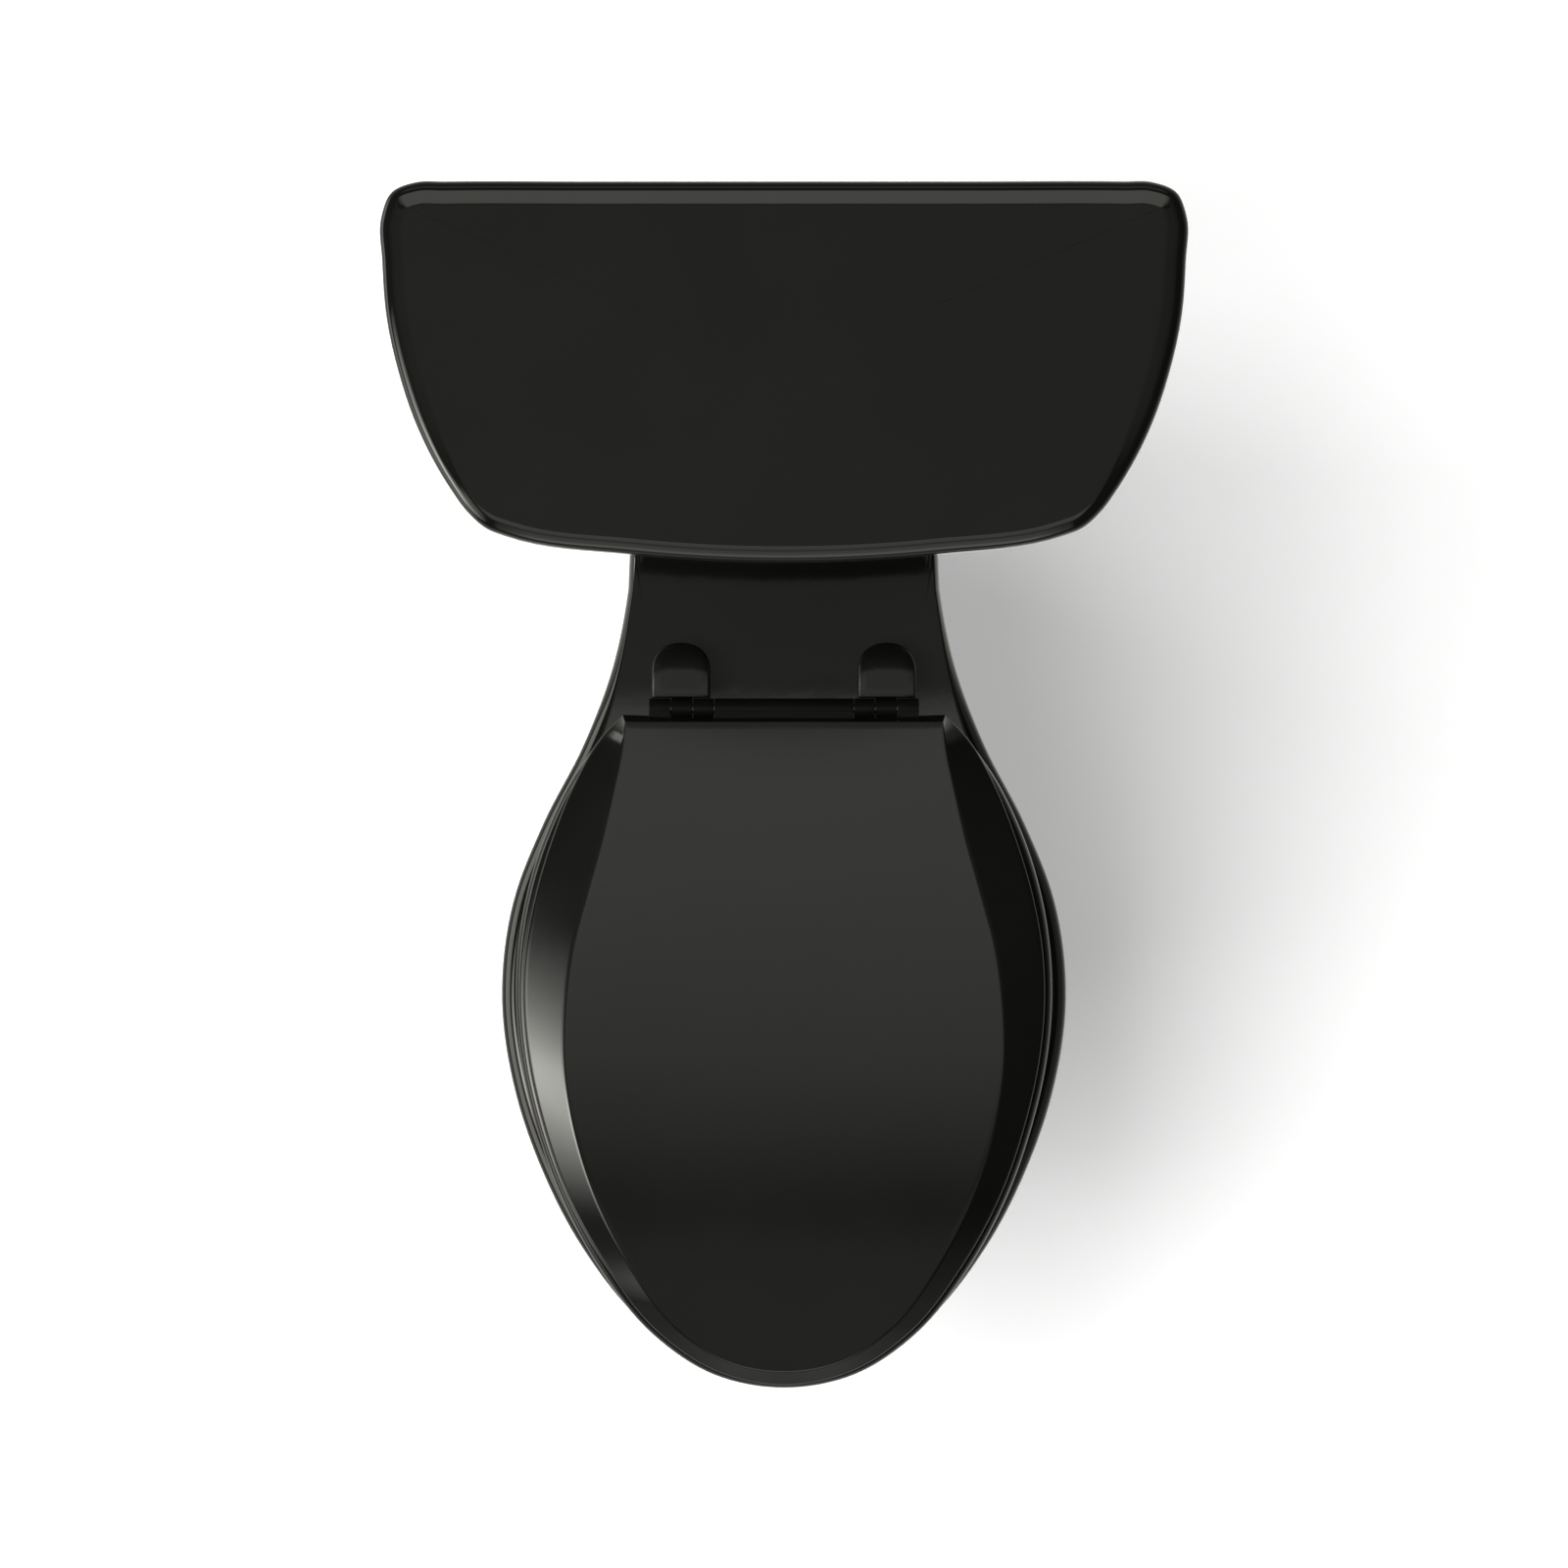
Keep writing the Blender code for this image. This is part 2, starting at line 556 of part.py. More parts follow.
def make_tank():
    low, high = TANK_Z
    outer = [
        tank_loop(low, 0.010), tank_loop(low + 0.009), tank_loop(0.530), tank_loop(0.620), tank_loop(0.700),
        tank_loop(high),
    ]
    inner = [
        tank_loop(high, TANK_WALL), tank_loop(0.700, TANK_WALL), tank_loop(0.620, TANK_WALL),
        tank_loop(0.530, TANK_WALL), tank_loop(TANK_FLOOR_Z + 0.006, TANK_WALL),
        tank_loop(TANK_FLOOR_Z, TANK_WALL + 0.006),
    ]
    tank = loft("tank", [*outer, *inner], "glazed_china")
    below, above = low - 0.02, TANK_FLOOR_Z + 0.02
    holes = [("valve_hole", (0.0, VALVE_Y), 0.0300, 32), ("fill_hole", FILL_XY, 0.0135, 24)]
    holes += [(f"tank_bolt_hole_{side}", (sign * TANK_BOLT_X, VALVE_Y), 0.0060, 16) for side, sign in SIDES]
    for name, centre, radius, segments in holes:
        boolean(tank, cylinder(name, (*centre, below), (*centre, above), radius, None, segments=segments))
    outer_flat, inner_flat = LEVER_FLAT_X
    flats = (
        ("lever_hole", -0.27, -0.19, 0.0060), ("outer_flat", -0.27, outer_flat, 0.0125),
        ("inner_flat", inner_flat, -0.19, 0.0125),
    )
    for name, start, end, radius in flats:
        boolean(tank, cylinder(name, (start, LEVER_Y, LEVER_Z), (end, LEVER_Y, LEVER_Z), radius, None))


def make_tank_lid():
    low, high = LID_Z
    edge = lid_outline(2)
    middle = np.array([0.0, BACK_Y - LID_DEPTH / 2])
    skin = [
        (0.0015, low), (0.0, low + 0.0020), (0.0, high - 0.0130), (0.0016, high - 0.0075),
        (0.0055, high - 0.0033), (0.0140, high - 0.0011),
    ]
    outside = [at_height(inset(edge, distance), z) for distance, z in skin]
    top_edge = inset(edge, skin[-1][0])
    crown = [at_height(middle + (top_edge - middle) * share, high - 0.0011 * share**2) for share in (0.5,)]
    ceiling = [
        at_height(inset(edge, distance), z)
        for distance, z in ((0.0250, low + 0.0240), (0.0220, low))
    ]
    lid = loft("tank_lid", [*ceiling, *outside, *crown], "glazed_china")
    hang("lid_lift", (0.0, BACK_Y - LID_DEPTH / 2, low), [lid])


def make_tank_fixings():
    for side, sign in SIDES:
        centre = (sign * TANK_BOLT_X, VALVE_Y)
        floor = TANK_FLOOR_Z
        ring(f"tank_bolt_washer_{side}", centre, (0.0046, 0.0130), (floor + GAP, floor + 0.0040), "black_rubber")
        bolt = cylinder(f"tank_bolt_{side}", (*centre, TANK_NUT_Z - 0.0180), (*centre, floor + 0.0080), 0.0040,
                        "brass", segments=16)
        head = cylinder(f"tank_bolt_head_{side}", (*centre, floor + 0.0043), (*centre, floor + 0.0085), 0.0090,
                        None, segments=16)
        boolean(bolt, head, "UNION")
        ring(f"tank_pad_{side}", centre, (0.0066, 0.0150), (SHELF_Z + GAP, TANK_Z[0] - GAP), "black_rubber")
        nut_top = TANK_NUT_Z - GAP
        hexagon_nut(f"tank_bolt_nut_{side}", centre, 0.0160, 0.0046, (nut_top - 0.0080, nut_top), "brass")


# ---------------------------------------------------------------- inside the tank
def make_flush_valve():
    floor, centre = TANK_FLOOR_Z, (0.0, VALVE_Y)
    profile = [
        (0.0300, floor + 0.0330), (0.0330, floor + 0.0330), (0.0330, floor + 0.0080), (0.0370, floor + 0.0060),
        (0.0370, floor + 0.0036), (0.0280, floor + 0.0036), (0.0280, 0.4240), (0.0235, 0.4240),
        (0.0235, floor + 0.0200), (0.0270, floor + 0.0300),
    ]
    valve = turned("flush_valve", profile, centre, "white_plastic", steps=32)
    overflow = ring("overflow_tube", (0.0, OVERFLOW_Y), (0.0115, 0.0140), (floor + 0.0100, 0.6720), None, steps=24)
    boss = box("overflow_boss", (-0.011, OVERFLOW_Y - 0.016, floor + 0.005), (0.011, VALVE_Y - 0.029, floor + 0.022),
               None)
    boolean(valve, boss, "UNION")
    boolean(valve, overflow, "UNION")
    for side, sign in SIDES:
        ear = cylinder(
            f"flapper_ear_{side}", (sign * 0.0125, OVERFLOW_Y, FLAPPER_AXIS_Z),
            (sign * 0.0200, OVERFLOW_Y, FLAPPER_AXIS_Z), 0.0020, None, segments=12,
        )
        boolean(valve, ear, "UNION")
    bore = cylinder("valve_way", (*centre, 0.40), (*centre, floor + 0.05), 0.0232, None)
    down = cylinder("overflow_way", (0, OVERFLOW_Y, floor + 0.0095), (0, OVERFLOW_Y, 0.60), 0.0090, None)
    across = cylinder("overflow_drain", (0, OVERFLOW_Y, floor + 0.0140), (0, VALVE_Y - 0.010, floor + 0.0140), 0.0042,
                      None, segments=12)
    for way in (bore, down, across):
        boolean(valve, way)
    ring("flush_valve_gasket", centre, (0.0284, 0.0380), (floor + GAP, floor + 0.0033), "black_rubber", steps=32)
    hexagon_nut("flush_valve_nut", centre, 0.0600, 0.0286, (0.4300, TANK_Z[0] - GAP), "grey_plastic")
    ring("spud_gasket", centre, (0.0362, 0.0530), (0.4223, TANK_Z[0] - GAP), "black_rubber", steps=32)


def make_flapper():
    top = TANK_FLOOR_Z + 0.0330
    profile = [
        (0.0, top + 0.0140), (0.0120, top + 0.0120), (0.0200, top + 0.0050), (0.0345, top + 0.0040),
        (0.0345, top + GAP), (0.0180, top + GAP), (0.0140, top - 0.0120), (0.0, top - 0.0160),
    ]
    flapper = turned("flapper", profile, (0.0, VALVE_Y), "red_rubber")
    pad = box("flapper_tab", (-0.005, 0.305, top + 0.0012), (0.005, CHAIN_Y + 0.005, top + 0.0038), None)
    boolean(flapper, pad, "UNION")
    for side, sign in SIDES:
        inner, outer = sorted((sign * 0.0148, sign * 0.0188))
        arm = box(f"flapper_arm_{side}", (inner, OVERFLOW_Y - 0.005, top + 0.0008),
                  (outer, VALVE_Y - 0.012, FLAPPER_AXIS_Z + 0.005), None)
        hole = cylinder(f"flapper_eye_{side}", (sign * 0.010, OVERFLOW_Y, FLAPPER_AXIS_Z),
                        (sign * 0.024, OVERFLOW_Y, FLAPPER_AXIS_Z), 0.0025, None, segments=12)
        boolean(arm, hole)
        boolean(flapper, arm, "UNION")
    hang("flapper_lift", (0.0, OVERFLOW_Y, FLAPPER_AXIS_Z), [flapper])


def make_chain():
    bottom, top = TANK_FLOOR_Z + 0.0330 + 0.0045, ARM_Z - 0.0040
    chain = tube("flapper_chain", [(0.0, CHAIN_Y, bottom), (0.0, CHAIN_Y, top)], 0.0014, "steel")
    hang("chain_lift", (0.0, CHAIN_Y, bottom), [chain])


def make_fill_valve():
    floor = TANK_FLOOR_Z
    body = [
        (0.0, 0.6550), (0.0125, 0.6550), (0.0125, floor + 0.0160), (0.0150, floor + 0.0120),
        (0.0215, floor + 0.0100), (0.0215, floor + 0.0036), (0.0115, floor + 0.0036), (0.0115, 0.3990),
        (0.0060, 0.3990), (0.0060, 0.5500), (0.0, 0.5500),
    ]
    turned("fill_valve_body", body, FILL_XY, "white_plastic")
    ring("fill_valve_washer", FILL_XY, (0.0119, 0.0200), (floor + GAP, floor + 0.0033), "black_rubber", steps=24)
    hexagon_nut("fill_valve_locknut", FILL_XY, 0.0320, 0.0120, (0.4335, TANK_Z[0] - GAP), "white_plastic")
    cap_profile = [
        (0.0, 0.6880), (0.0230, 0.6880), (0.0265, 0.6850), (0.0275, 0.6620), (0.0275, 0.6555), (0.0, 0.6555),
    ]
    cap = turned("fill_valve_cap", cap_profile, FILL_XY, "grey_plastic")
    x, y = FILL_XY
    nipple = cylinder("refill_nipple", (x + 0.020, y, 0.672), (x + 0.038, y, 0.672), 0.0030, None, segments=12)
    boolean(cap, nipple, "UNION")
    cup = [
        (0.0132, 0.6250), (0.0160, 0.6280), (0.0290, 0.6280), (0.0310, 0.6250), (0.0310, 0.5760),
        (0.0280, 0.5720), (0.0160, 0.5720), (0.0132, 0.5760),
    ]
    hang("float_rise", (*FILL_XY, 0.5720), [turned("float_cup", cup, FILL_XY, "grey_plastic")])
    ring("float_stop", FILL_XY, (0.0129, 0.0185), (0.5660, 0.5715), "white_plastic", steps=24)


def make_refill_tube():
    x, y = FILL_XY
    route = [
        (x + 0.0385, y, 0.672), (x + 0.050, y - 0.001, 0.673), (x + 0.066, y - 0.004, 0.682),
        (x + 0.088, y - 0.012, 0.691), (x + 0.110, y - 0.018, 0.692), (x + 0.127, y - 0.0205, 0.686),
        (0.0, OVERFLOW_Y, 0.670), (0.0, OVERFLOW_Y, 0.645),
    ]
    tube("refill_tube", open_curve(route, 3), 0.0035, "vinyl_tube")
    clip = ring("refill_clip", (0.0, OVERFLOW_Y), (0.0040, 0.0158), (0.6723, 0.6745), "grey_plastic", steps=24)
    skirt = ring("refill_clip_skirt", (0.0, OVERFLOW_Y), (0.0144, 0.0158), (0.6600, 0.6735), None, steps=24)
    boolean(clip, skirt, "UNION")
    way = cylinder("refill_way", (0.0, OVERFLOW_Y, 0.65), (0.0, OVERFLOW_Y, 0.70), 0.0100, None)
    boolean(clip, way)


# ---------------------------------------------------------------- the flush lever
def make_lever():
    # The paddle's centre line in plan hugs the tank's curved left side, inside the lid's overhang.
    line = open_curve(
        [(-0.2366, 0.2740), (-0.2357, 0.2600), (-0.2312, 0.2440), (-0.2238, 0.2270), (-0.2146, 0.2110),
         (-0.2072, 0.2010)], 2,
    )
    half_height = [0.0040, 0.0075, 0.0078, 0.0076, 0.0073, 0.0070, 0.0068, 0.0066, 0.0063, 0.0058, 0.0040]
    loops = []
    for i, place in enumerate(line):
        ahead = line[min(i + 1, len(line) - 1)] - line[max(i - 1, 0)]
        across = np.array([ahead[1], -ahead[0]]) / np.linalg.norm(ahead)
        loop = []
        for k in range(12):
            angle = 2 * math.pi * k / 12
            reach = across * 0.0026 * math.copysign(abs(math.cos(angle)) ** 0.6, math.cos(angle))
            rise = half_height[i] * math.copysign(abs(math.sin(angle)) ** 0.6, math.sin(angle))
            loop.append((place[0] + reach[0], place[1] + reach[1], LEVER_Z + rise))
        loops.append(loop)
    paddle = loft("trip_lever", loops, "lever_enamel")
    outer_flat = LEVER_FLAT_X[0]
    boss = cylinder("lever_boss", (-0.2360, LEVER_Y, LEVER_Z), (outer_flat - GAP, LEVER_Y, LEVER_Z), 0.0085, None)
    spindle = cylinder("lever_spindle", (-0.2360, LEVER_Y, LEVER_Z), (-0.2052, LEVER_Y, LEVER_Z), 0.0045, None,
                       segments=16)
    boolean(paddle, boss, "UNION")
    boolean(paddle, spindle, "UNION")

    nut = cylinder("lever_nut", (LEVER_FLAT_X[1] + GAP, LEVER_Y, LEVER_Z), (-0.2118, LEVER_Y, LEVER_Z), 0.0110,
                   "grey_plastic", segments=6)
    boolean(nut, cylinder("lever_nut_bore", (-0.24, LEVER_Y, LEVER_Z), (-0.19, LEVER_Y, LEVER_Z), 0.0052, None))

    route = [
        (-0.2010, LEVER_Y, LEVER_Z + 0.003), (-0.1960, LEVER_Y + 0.001, LEVER_Z + 0.010),
        (-0.1860, LEVER_Y + 0.004, ARM_Z), (-0.0900, LEVER_Y + 0.031, ARM_Z), (0.0030, CHAIN_Y, ARM_Z),
    ]
    hub = cylinder("lever_hub", (-0.2048, LEVER_Y, LEVER_Z), (-0.1970, LEVER_Y, LEVER_Z), 0.0062, None, segments=16)
    arm = mesh_of(tube("lever_arm", open_curve(route, 3), 0.0024, "brass"), "brass")
    boolean(arm, hub, "UNION")
    hang("lever_press", (-0.2250, LEVER_Y, LEVER_Z), [paddle, arm])


# ---------------------------------------------------------------- the seat, its cover and their hinges
def hinge_knuckle(obj, label, low_x, high_x, arm_low, arm_high):
    """A round knuckle on the hinge axis from low_x to high_x, with an arm that runs forward into obj."""
    barrel = cylinder(f"{label}_knuckle", (low_x, HINGE_Y, HINGE_Z), (high_x, HINGE_Y, HINGE_Z), KNUCKLE_R, None)
    arm = box(f"{label}_arm", (low_x + 0.0001, *arm_low), (high_x - 0.0001, *arm_high), None)
    boolean(obj, barrel, "UNION")
    boolean(obj, arm, "UNION")


def cut_pin_bores(obj):
    for side, sign in SIDES:
        start, end = (sign * 0.0375, HINGE_Y, HINGE_Z), (sign * 0.0950, HINGE_Y, HINGE_Z)
        boolean(obj, cylinder(f"{obj.name}_pin_bore_{side}", start, end, PIN_R + PIN_CLEARANCE, None))


def make_seat():
    seat = hang("seat_lift", (0.0, HINGE_Y, HINGE_Z), [make_seat_ring(), *make_seat_bumpers()])
    hang("cover_lift", (0.0, HINGE_Y, HINGE_Z), [make_seat_cover(), *make_cover_bumpers()], seat)


def make_seat_ring():
    low, high = SEAT_Z
    outer = closed_outline(SEAT_HALF, 2)
    opening = closed_outline(egg_half(*SEAT_OPENING), 2)
    section = [
        (0.0, 0.0020, low), (0.0, 0.0, low + 0.0020), (0.0, 0.0, high - 0.0060), (0.0, 0.0020, high - 0.0020),
        (0.0, 0.0070, high), (0.55, 0.0, high), (0.85, 0.0, high - 0.0030), (1.0, 0.0, high - 0.0080),
        (1.0, 0.0, low),
    ]
    loops = []
    for share, distance, z in section:
        edge = inset(outer, distance)
        loops.append(at_height(edge * (1 - share) + opening * share, z))
    seat = loft("seat_ring", loops, "seat_plastic", ring=True)
    for side, sign in SIDES:
        low_x, high_x = sorted(sign * x for x in SEAT_KNUCKLE_X)
        hinge_knuckle(seat, f"seat_{side}", low_x, high_x, (0.035, 0.4330), (HINGE_Y, 0.4403))
    cut_pin_bores(seat)
    return seat


def make_seat_cover():
    foot, edge, top = COVER_Z
    skirt = closed_outline(SKIRT_HALF, 2, COVER_CORNER)
    panel = closed_outline(PANEL_HALF, 2, COVER_CORNER)
    middle = np.array([0.0, -0.15])
    crown = 0.0012
    outside = [
        at_height(inset(skirt, 0.0008), foot), at_height(skirt, foot + 0.0010), at_height(skirt, edge - 0.0008),
        at_height(inset(skirt, 0.0010), edge + 0.0003), at_height(panel, top),
        at_height(middle + (panel - middle) * 0.5, top + crown),
    ]
    room = inset(panel, COVER_WALL + 0.0015)
    lip = inset(skirt, COVER_WALL)
    ceiling = [
        at_height(room, top - COVER_WALL), at_height(lip, edge - 0.0012), at_height(lip, foot),
    ]
    cover = loft("seat_cover", [*ceiling, *outside], "seat_plastic")
    hinge_knuckle(cover, "cover_bar", -COVER_BAR_X, COVER_BAR_X, (0.0495, 0.4380), (HINGE_Y, 0.4462))
    for side, sign in SIDES:
        low_x, high_x = sorted(sign * x for x in COVER_KNUCKLE_X)
        hinge_knuckle(cover, f"cover_{side}", low_x, high_x, (0.0495, 0.4380), (HINGE_Y, 0.4462))
    cut_pin_bores(cover)
    return cover


def make_seat_bumpers():
    bumpers = []
    for side, sign in SIDES:
        for place, x, y, turn in (("rear", 0.1480, -0.0700, 8), ("front", 0.1170, -0.2700, -25)):
            low, high = (-0.006, -0.018, RIM_Z + GAP), (0.006, 0.018, SEAT_Z[0] - GAP)
            bumper = box(f"seat_bumper_{place}_{side}", low, high, "black_rubber")
            bevel(bumper, 0.0010, 1)
            bumper.location = (sign * x, y, 0)
            bumper.rotation_euler = (0, 0, math.radians(-sign * turn))
            bumpers.append(bumper)
    return bumpers


def make_cover_bumpers():
    bumpers = []
    low, high = SEAT_Z[1] + GAP, COVER_Z[2] - COVER_WALL - 0.0030
    for side, sign in SIDES:
        x, y = sign * 0.118, -0.235
        bumpers.append(cylinder(f"cover_bumper_{side}", (x, y, low), (x, y, high), 0.0055, "black_rubber"))
    return bumpers


def arch_half(depth_front, depth_back, half_width):
    """Half of a hinge post's plan: square at the front, round at the back."""
    radius = half_width * 0.72
    return [
        (0.0, depth_back), (half_width * 0.42, depth_back - radius * 0.10),
        (half_width * 0.78, depth_back - radius * 0.42), (half_width * 0.97, depth_back - radius * 0.95),
        (half_width, depth_back - radius * 1.5), (half_width, depth_front), (half_width * 0.5, depth_front),
        (0.0, depth_front),
    ]


def post_outline(middle_x, margin):
    front, back = POST_Y
    half_width = (POST_X[1] - POST_X[0]) / 2 - margin
    half = arch_half(front + margin, back - margin, half_width)
    right = smooth_points([(-half[1][0], half[1][1]), *half[:5], half[5]], 2) + [np.array(p) for p in half[5:]]
    outline = np.array(right + [p * np.array([-1.0, 1.0]) for p in reversed(right[1:-1])])
    outline[:, 0] += middle_x
    return outline


def cap_height(y, top):
    """The cap's top: level at the front, then sloping down to the back."""
    return top - 0.0095 * smooth_step(y, 0.0790, 0.1020)


def make_hinge_cap(side, middle):
    low, top = 0.4290, 0.4435
    plan, inner, deep = post_outline(middle, 0.0), post_outline(middle, 0.0025), post_outline(middle, 0.0140)
    brim = np.column_stack([plan, cap_height(plan[:, 1], top) - 0.0015])
    under = np.column_stack([inner, np.maximum(cap_height(inner[:, 1], top) - 0.0030, low + 0.0010)])
    roof = np.column_stack([deep, np.maximum(cap_height(deep[:, 1], top) - 0.0028, low + 0.0012)])
    tops = []
    for margin, drop in ((0.0015, 0.0), (0.0150, -0.0004)):
        loop = post_outline(middle, margin)
        tops.append(np.column_stack([loop, cap_height(loop[:, 1], top) - drop]))
    loops = [roof, under, at_height(inner, low), at_height(plan, low), brim, *tops]
    cap = loft(f"hinge_cap_{side}", loops, "seat_plastic")
    hang(f"cap_flip_{side}", (middle, *CAP_AXIS), [cap])


def make_hinge_posts():
    deck = RIM_Z + GAP
    base_top = 0.4286
    for side, sign in SIDES:
        middle = sign * (POST_X[0] + POST_X[1]) / 2
        outline = post_outline(middle, 0.0)
        make_hinge_cap(side, middle)
        post = loft(f"hinge_post_{side}", [at_height(outline, deck), at_height(outline, base_top)], "seat_plastic")
        low_x, high_x = sorted(sign * x for x in POST_KNUCKLE_X)
        lug = box(f"post_lug_{side}", (low_x, 0.0545, deck), (high_x, 0.0700, base_top), None)
        web = box(f"post_web_{side}", (low_x, 0.0545, deck), (high_x, 0.0640, HINGE_Z), None)
        barrel = cylinder(f"post_barrel_{side}", (low_x, HINGE_Y, HINGE_Z), (high_x, HINGE_Y, HINGE_Z), 0.0062, None)
        for piece in (lug, web, barrel):
            boolean(post, piece, "UNION")
        centre = (sign * SEAT_BOLT_X, SEAT_BOLT_Y)
        boolean(post, cylinder(f"post_bolt_hole_{side}", (*centre, 0.41), (*centre, 0.44), 0.0058, None, segments=16))
        boolean(post, cylinder(f"post_counterbore_{side}", (*centre, 0.4235), (*centre, 0.44), 0.0105, None))
        cut_pin_bores(post)

        start, end = (sign * 0.0390, HINGE_Y, HINGE_Z), (sign * 0.0884, HINGE_Y, HINGE_Z)
        cylinder(f"hinge_pin_{side}", start, end, PIN_R, "steel", segments=16)
        bolt = cylinder(f"seat_bolt_{side}", (*centre, 0.3600), (*centre, 0.4270), 0.0048, "white_plastic", segments=16)
        head = cylinder(f"seat_bolt_head_{side}", (*centre, 0.4238), (*centre, 0.4275), 0.0095, None, segments=16)
        boolean(bolt, head, "UNION")
        nut_top = SEAT_NUT_Z - GAP
        hexagon_nut(f"seat_nut_{side}", centre, 0.0170, 0.0054, (nut_top - 0.0160, nut_top), "white_plastic")


def main():
    make_bowl()
    make_trapway()
    make_floor_fixings()
    make_tank()
    make_tank_lid()
    make_tank_fixings()
    make_flush_valve()
    make_flapper()
    make_chain()
    make_fill_valve()
    make_refill_tube()
    make_lever()
    make_seat()
    make_hinge_posts()


main()
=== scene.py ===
"""The looks of a close coupled toilet: black glazed china, a polished black seat and the tank's fittings."""

import json
import math

import bmesh
import bpy
import numpy as np
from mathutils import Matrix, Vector


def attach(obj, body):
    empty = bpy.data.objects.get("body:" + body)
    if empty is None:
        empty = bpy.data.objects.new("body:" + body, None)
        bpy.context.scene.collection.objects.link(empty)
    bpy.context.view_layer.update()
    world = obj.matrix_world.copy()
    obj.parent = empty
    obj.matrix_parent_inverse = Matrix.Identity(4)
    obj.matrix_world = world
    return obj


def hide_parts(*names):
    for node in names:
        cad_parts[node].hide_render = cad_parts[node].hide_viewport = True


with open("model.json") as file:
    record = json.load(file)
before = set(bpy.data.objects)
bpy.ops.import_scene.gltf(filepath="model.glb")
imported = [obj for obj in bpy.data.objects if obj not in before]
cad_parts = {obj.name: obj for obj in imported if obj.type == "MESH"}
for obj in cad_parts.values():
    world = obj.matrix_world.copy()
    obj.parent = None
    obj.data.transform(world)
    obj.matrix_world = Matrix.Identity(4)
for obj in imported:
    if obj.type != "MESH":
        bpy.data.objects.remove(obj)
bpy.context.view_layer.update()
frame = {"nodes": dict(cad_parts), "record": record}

# ---------------- dimensions shared with the CAD, in metres
SIDES = (("left", -1), ("right", 1))
RIM_Z, SHELF_RISE, SHELF_BLEND_Z = 0.419, 0.021, (0.30, 0.376)
SHELF_Z = RIM_Z + SHELF_RISE
BACK_Y, LID_DEPTH, LID_Z, LID_OVERHANG = 0.3883, 0.2395, (0.7368, 0.775), 0.012
TANK_Z, TANK_WALL, TANK_FLOOR_Z = (0.4455, 0.7365), 0.010, 0.4575
TANK_BACK_Y = BACK_Y - LID_OVERHANG
VALVE_Y, TANK_BOLT_X, FILL_XY, OVERFLOW_Y = 0.285, 0.080, (-0.135, 0.255), 0.234
FLAPPER_AXIS_Z, CHAIN_Y, LEVER_Y, LEVER_Z, ARM_Z = 0.500, 0.322, 0.265, 0.692, 0.706
LEVER_FLAT_X = (-0.2285, -0.2185)
FLANGE_Z, OUTLET_Y, FLOOR_BOLT_X = 0.0362, 0.105, 0.0762
TRAP_R, TRAP_WALL, INLET_R, WELL_WALL = 0.026, 0.008, 0.018, 0.012
SEAT_NUT_Z, TANK_NUT_Z = 0.3850, 0.4080
HINGE_Y, HINGE_Z, KNUCKLE_R, PIN_R = 0.0588, 0.440, 0.0065, 0.0033
COVER_BAR_X, SEAT_KNUCKLE_X = 0.0458, (0.0464, 0.0598)
POST_KNUCKLE_X, COVER_KNUCKLE_X = (0.0604, 0.0742), (0.0748, 0.0887)
POST_X, POST_Y, SEAT_BOLT_X, SEAT_BOLT_Y = (0.0487, 0.0868), (0.0658, 0.1020), 0.06985, 0.0820
SEAT_Z, COVER_Z, COVER_WALL = (0.4235, 0.4410), (0.4428, 0.4460, 0.4570), 0.0035

# The step up to the tank's shelf stays under the lid's front edge, a little further back than in the CAD.
SHELF_Y = (0.165, 0.198)

# Outlines in plan, as right halves from the back centre to the front centre.
LID_HALF = [
    (0.0, 0.0), (0.120, 0.0), (0.2140, 0.0), (0.2310, 0.0003), (0.2470, 0.0068), (0.2537, 0.0230),
    (0.2530, 0.0500), (0.2505, 0.0838), (0.2425, 0.1207), (0.2296, 0.1576), (0.2093, 0.1946), (0.2004, 0.2069),
    (0.1871, 0.2187), (0.1760, 0.2230), (0.0967, 0.2345), (0.0, LID_DEPTH),
]
COVER_CORNER = 2
SKIRT_HALF = [
    (0.0, 0.0530), (0.060, 0.0530), (0.1060, 0.0545), (0.1215, 0.0380), (0.1385, 0.0080), (0.1525, -0.0270),
    (0.1635, -0.0640), (0.1700, -0.1000), (0.1713, -0.1370), (0.1675, -0.1750), (0.1590, -0.2130),
    (0.1430, -0.2600), (0.1170, -0.3080), (0.0840, -0.3500), (0.0450, -0.3765), (0.0, -0.3857),
]
PANEL_HALF = [
    (0.0, 0.0497), (0.060, 0.0497), (0.1045, 0.0497), (0.1062, 0.0320), (0.1110, 0.0070), (0.1185, -0.0270),
    (0.1290, -0.0650), (0.1382, -0.1000), (0.1432, -0.1380), (0.1440, -0.1750), (0.1392, -0.2110),
    (0.1260, -0.2570), (0.1030, -0.3040), (0.0700, -0.3490), (0.0360, -0.3705), (0.0, -0.3767),
]
SEAT_HALF = [
    (0.0, 0.0470), (0.060, 0.0470), (0.1000, 0.0460), (0.1180, 0.0400), (0.1330, 0.0220), (0.1565, -0.0230),
    (0.1680, -0.0580), (0.1748, -0.0950), (0.1765, -0.1350), (0.1725, -0.1760), (0.1635, -0.2150),
    (0.1470, -0.2620), (0.1205, -0.3110), (0.0865, -0.3530), (0.0465, -0.3795), (0.0, -0.3883),
]
# Rings of the cover's panel, as shares of its size.
PANEL_SHARES = (0.93, 0.85, 0.7, 0.5, 0.3, 0.1, 0.02)
# half width, its y, front y, back y
SEAT_OPENING = (0.1050, -0.1500, -0.3180, -0.0300)
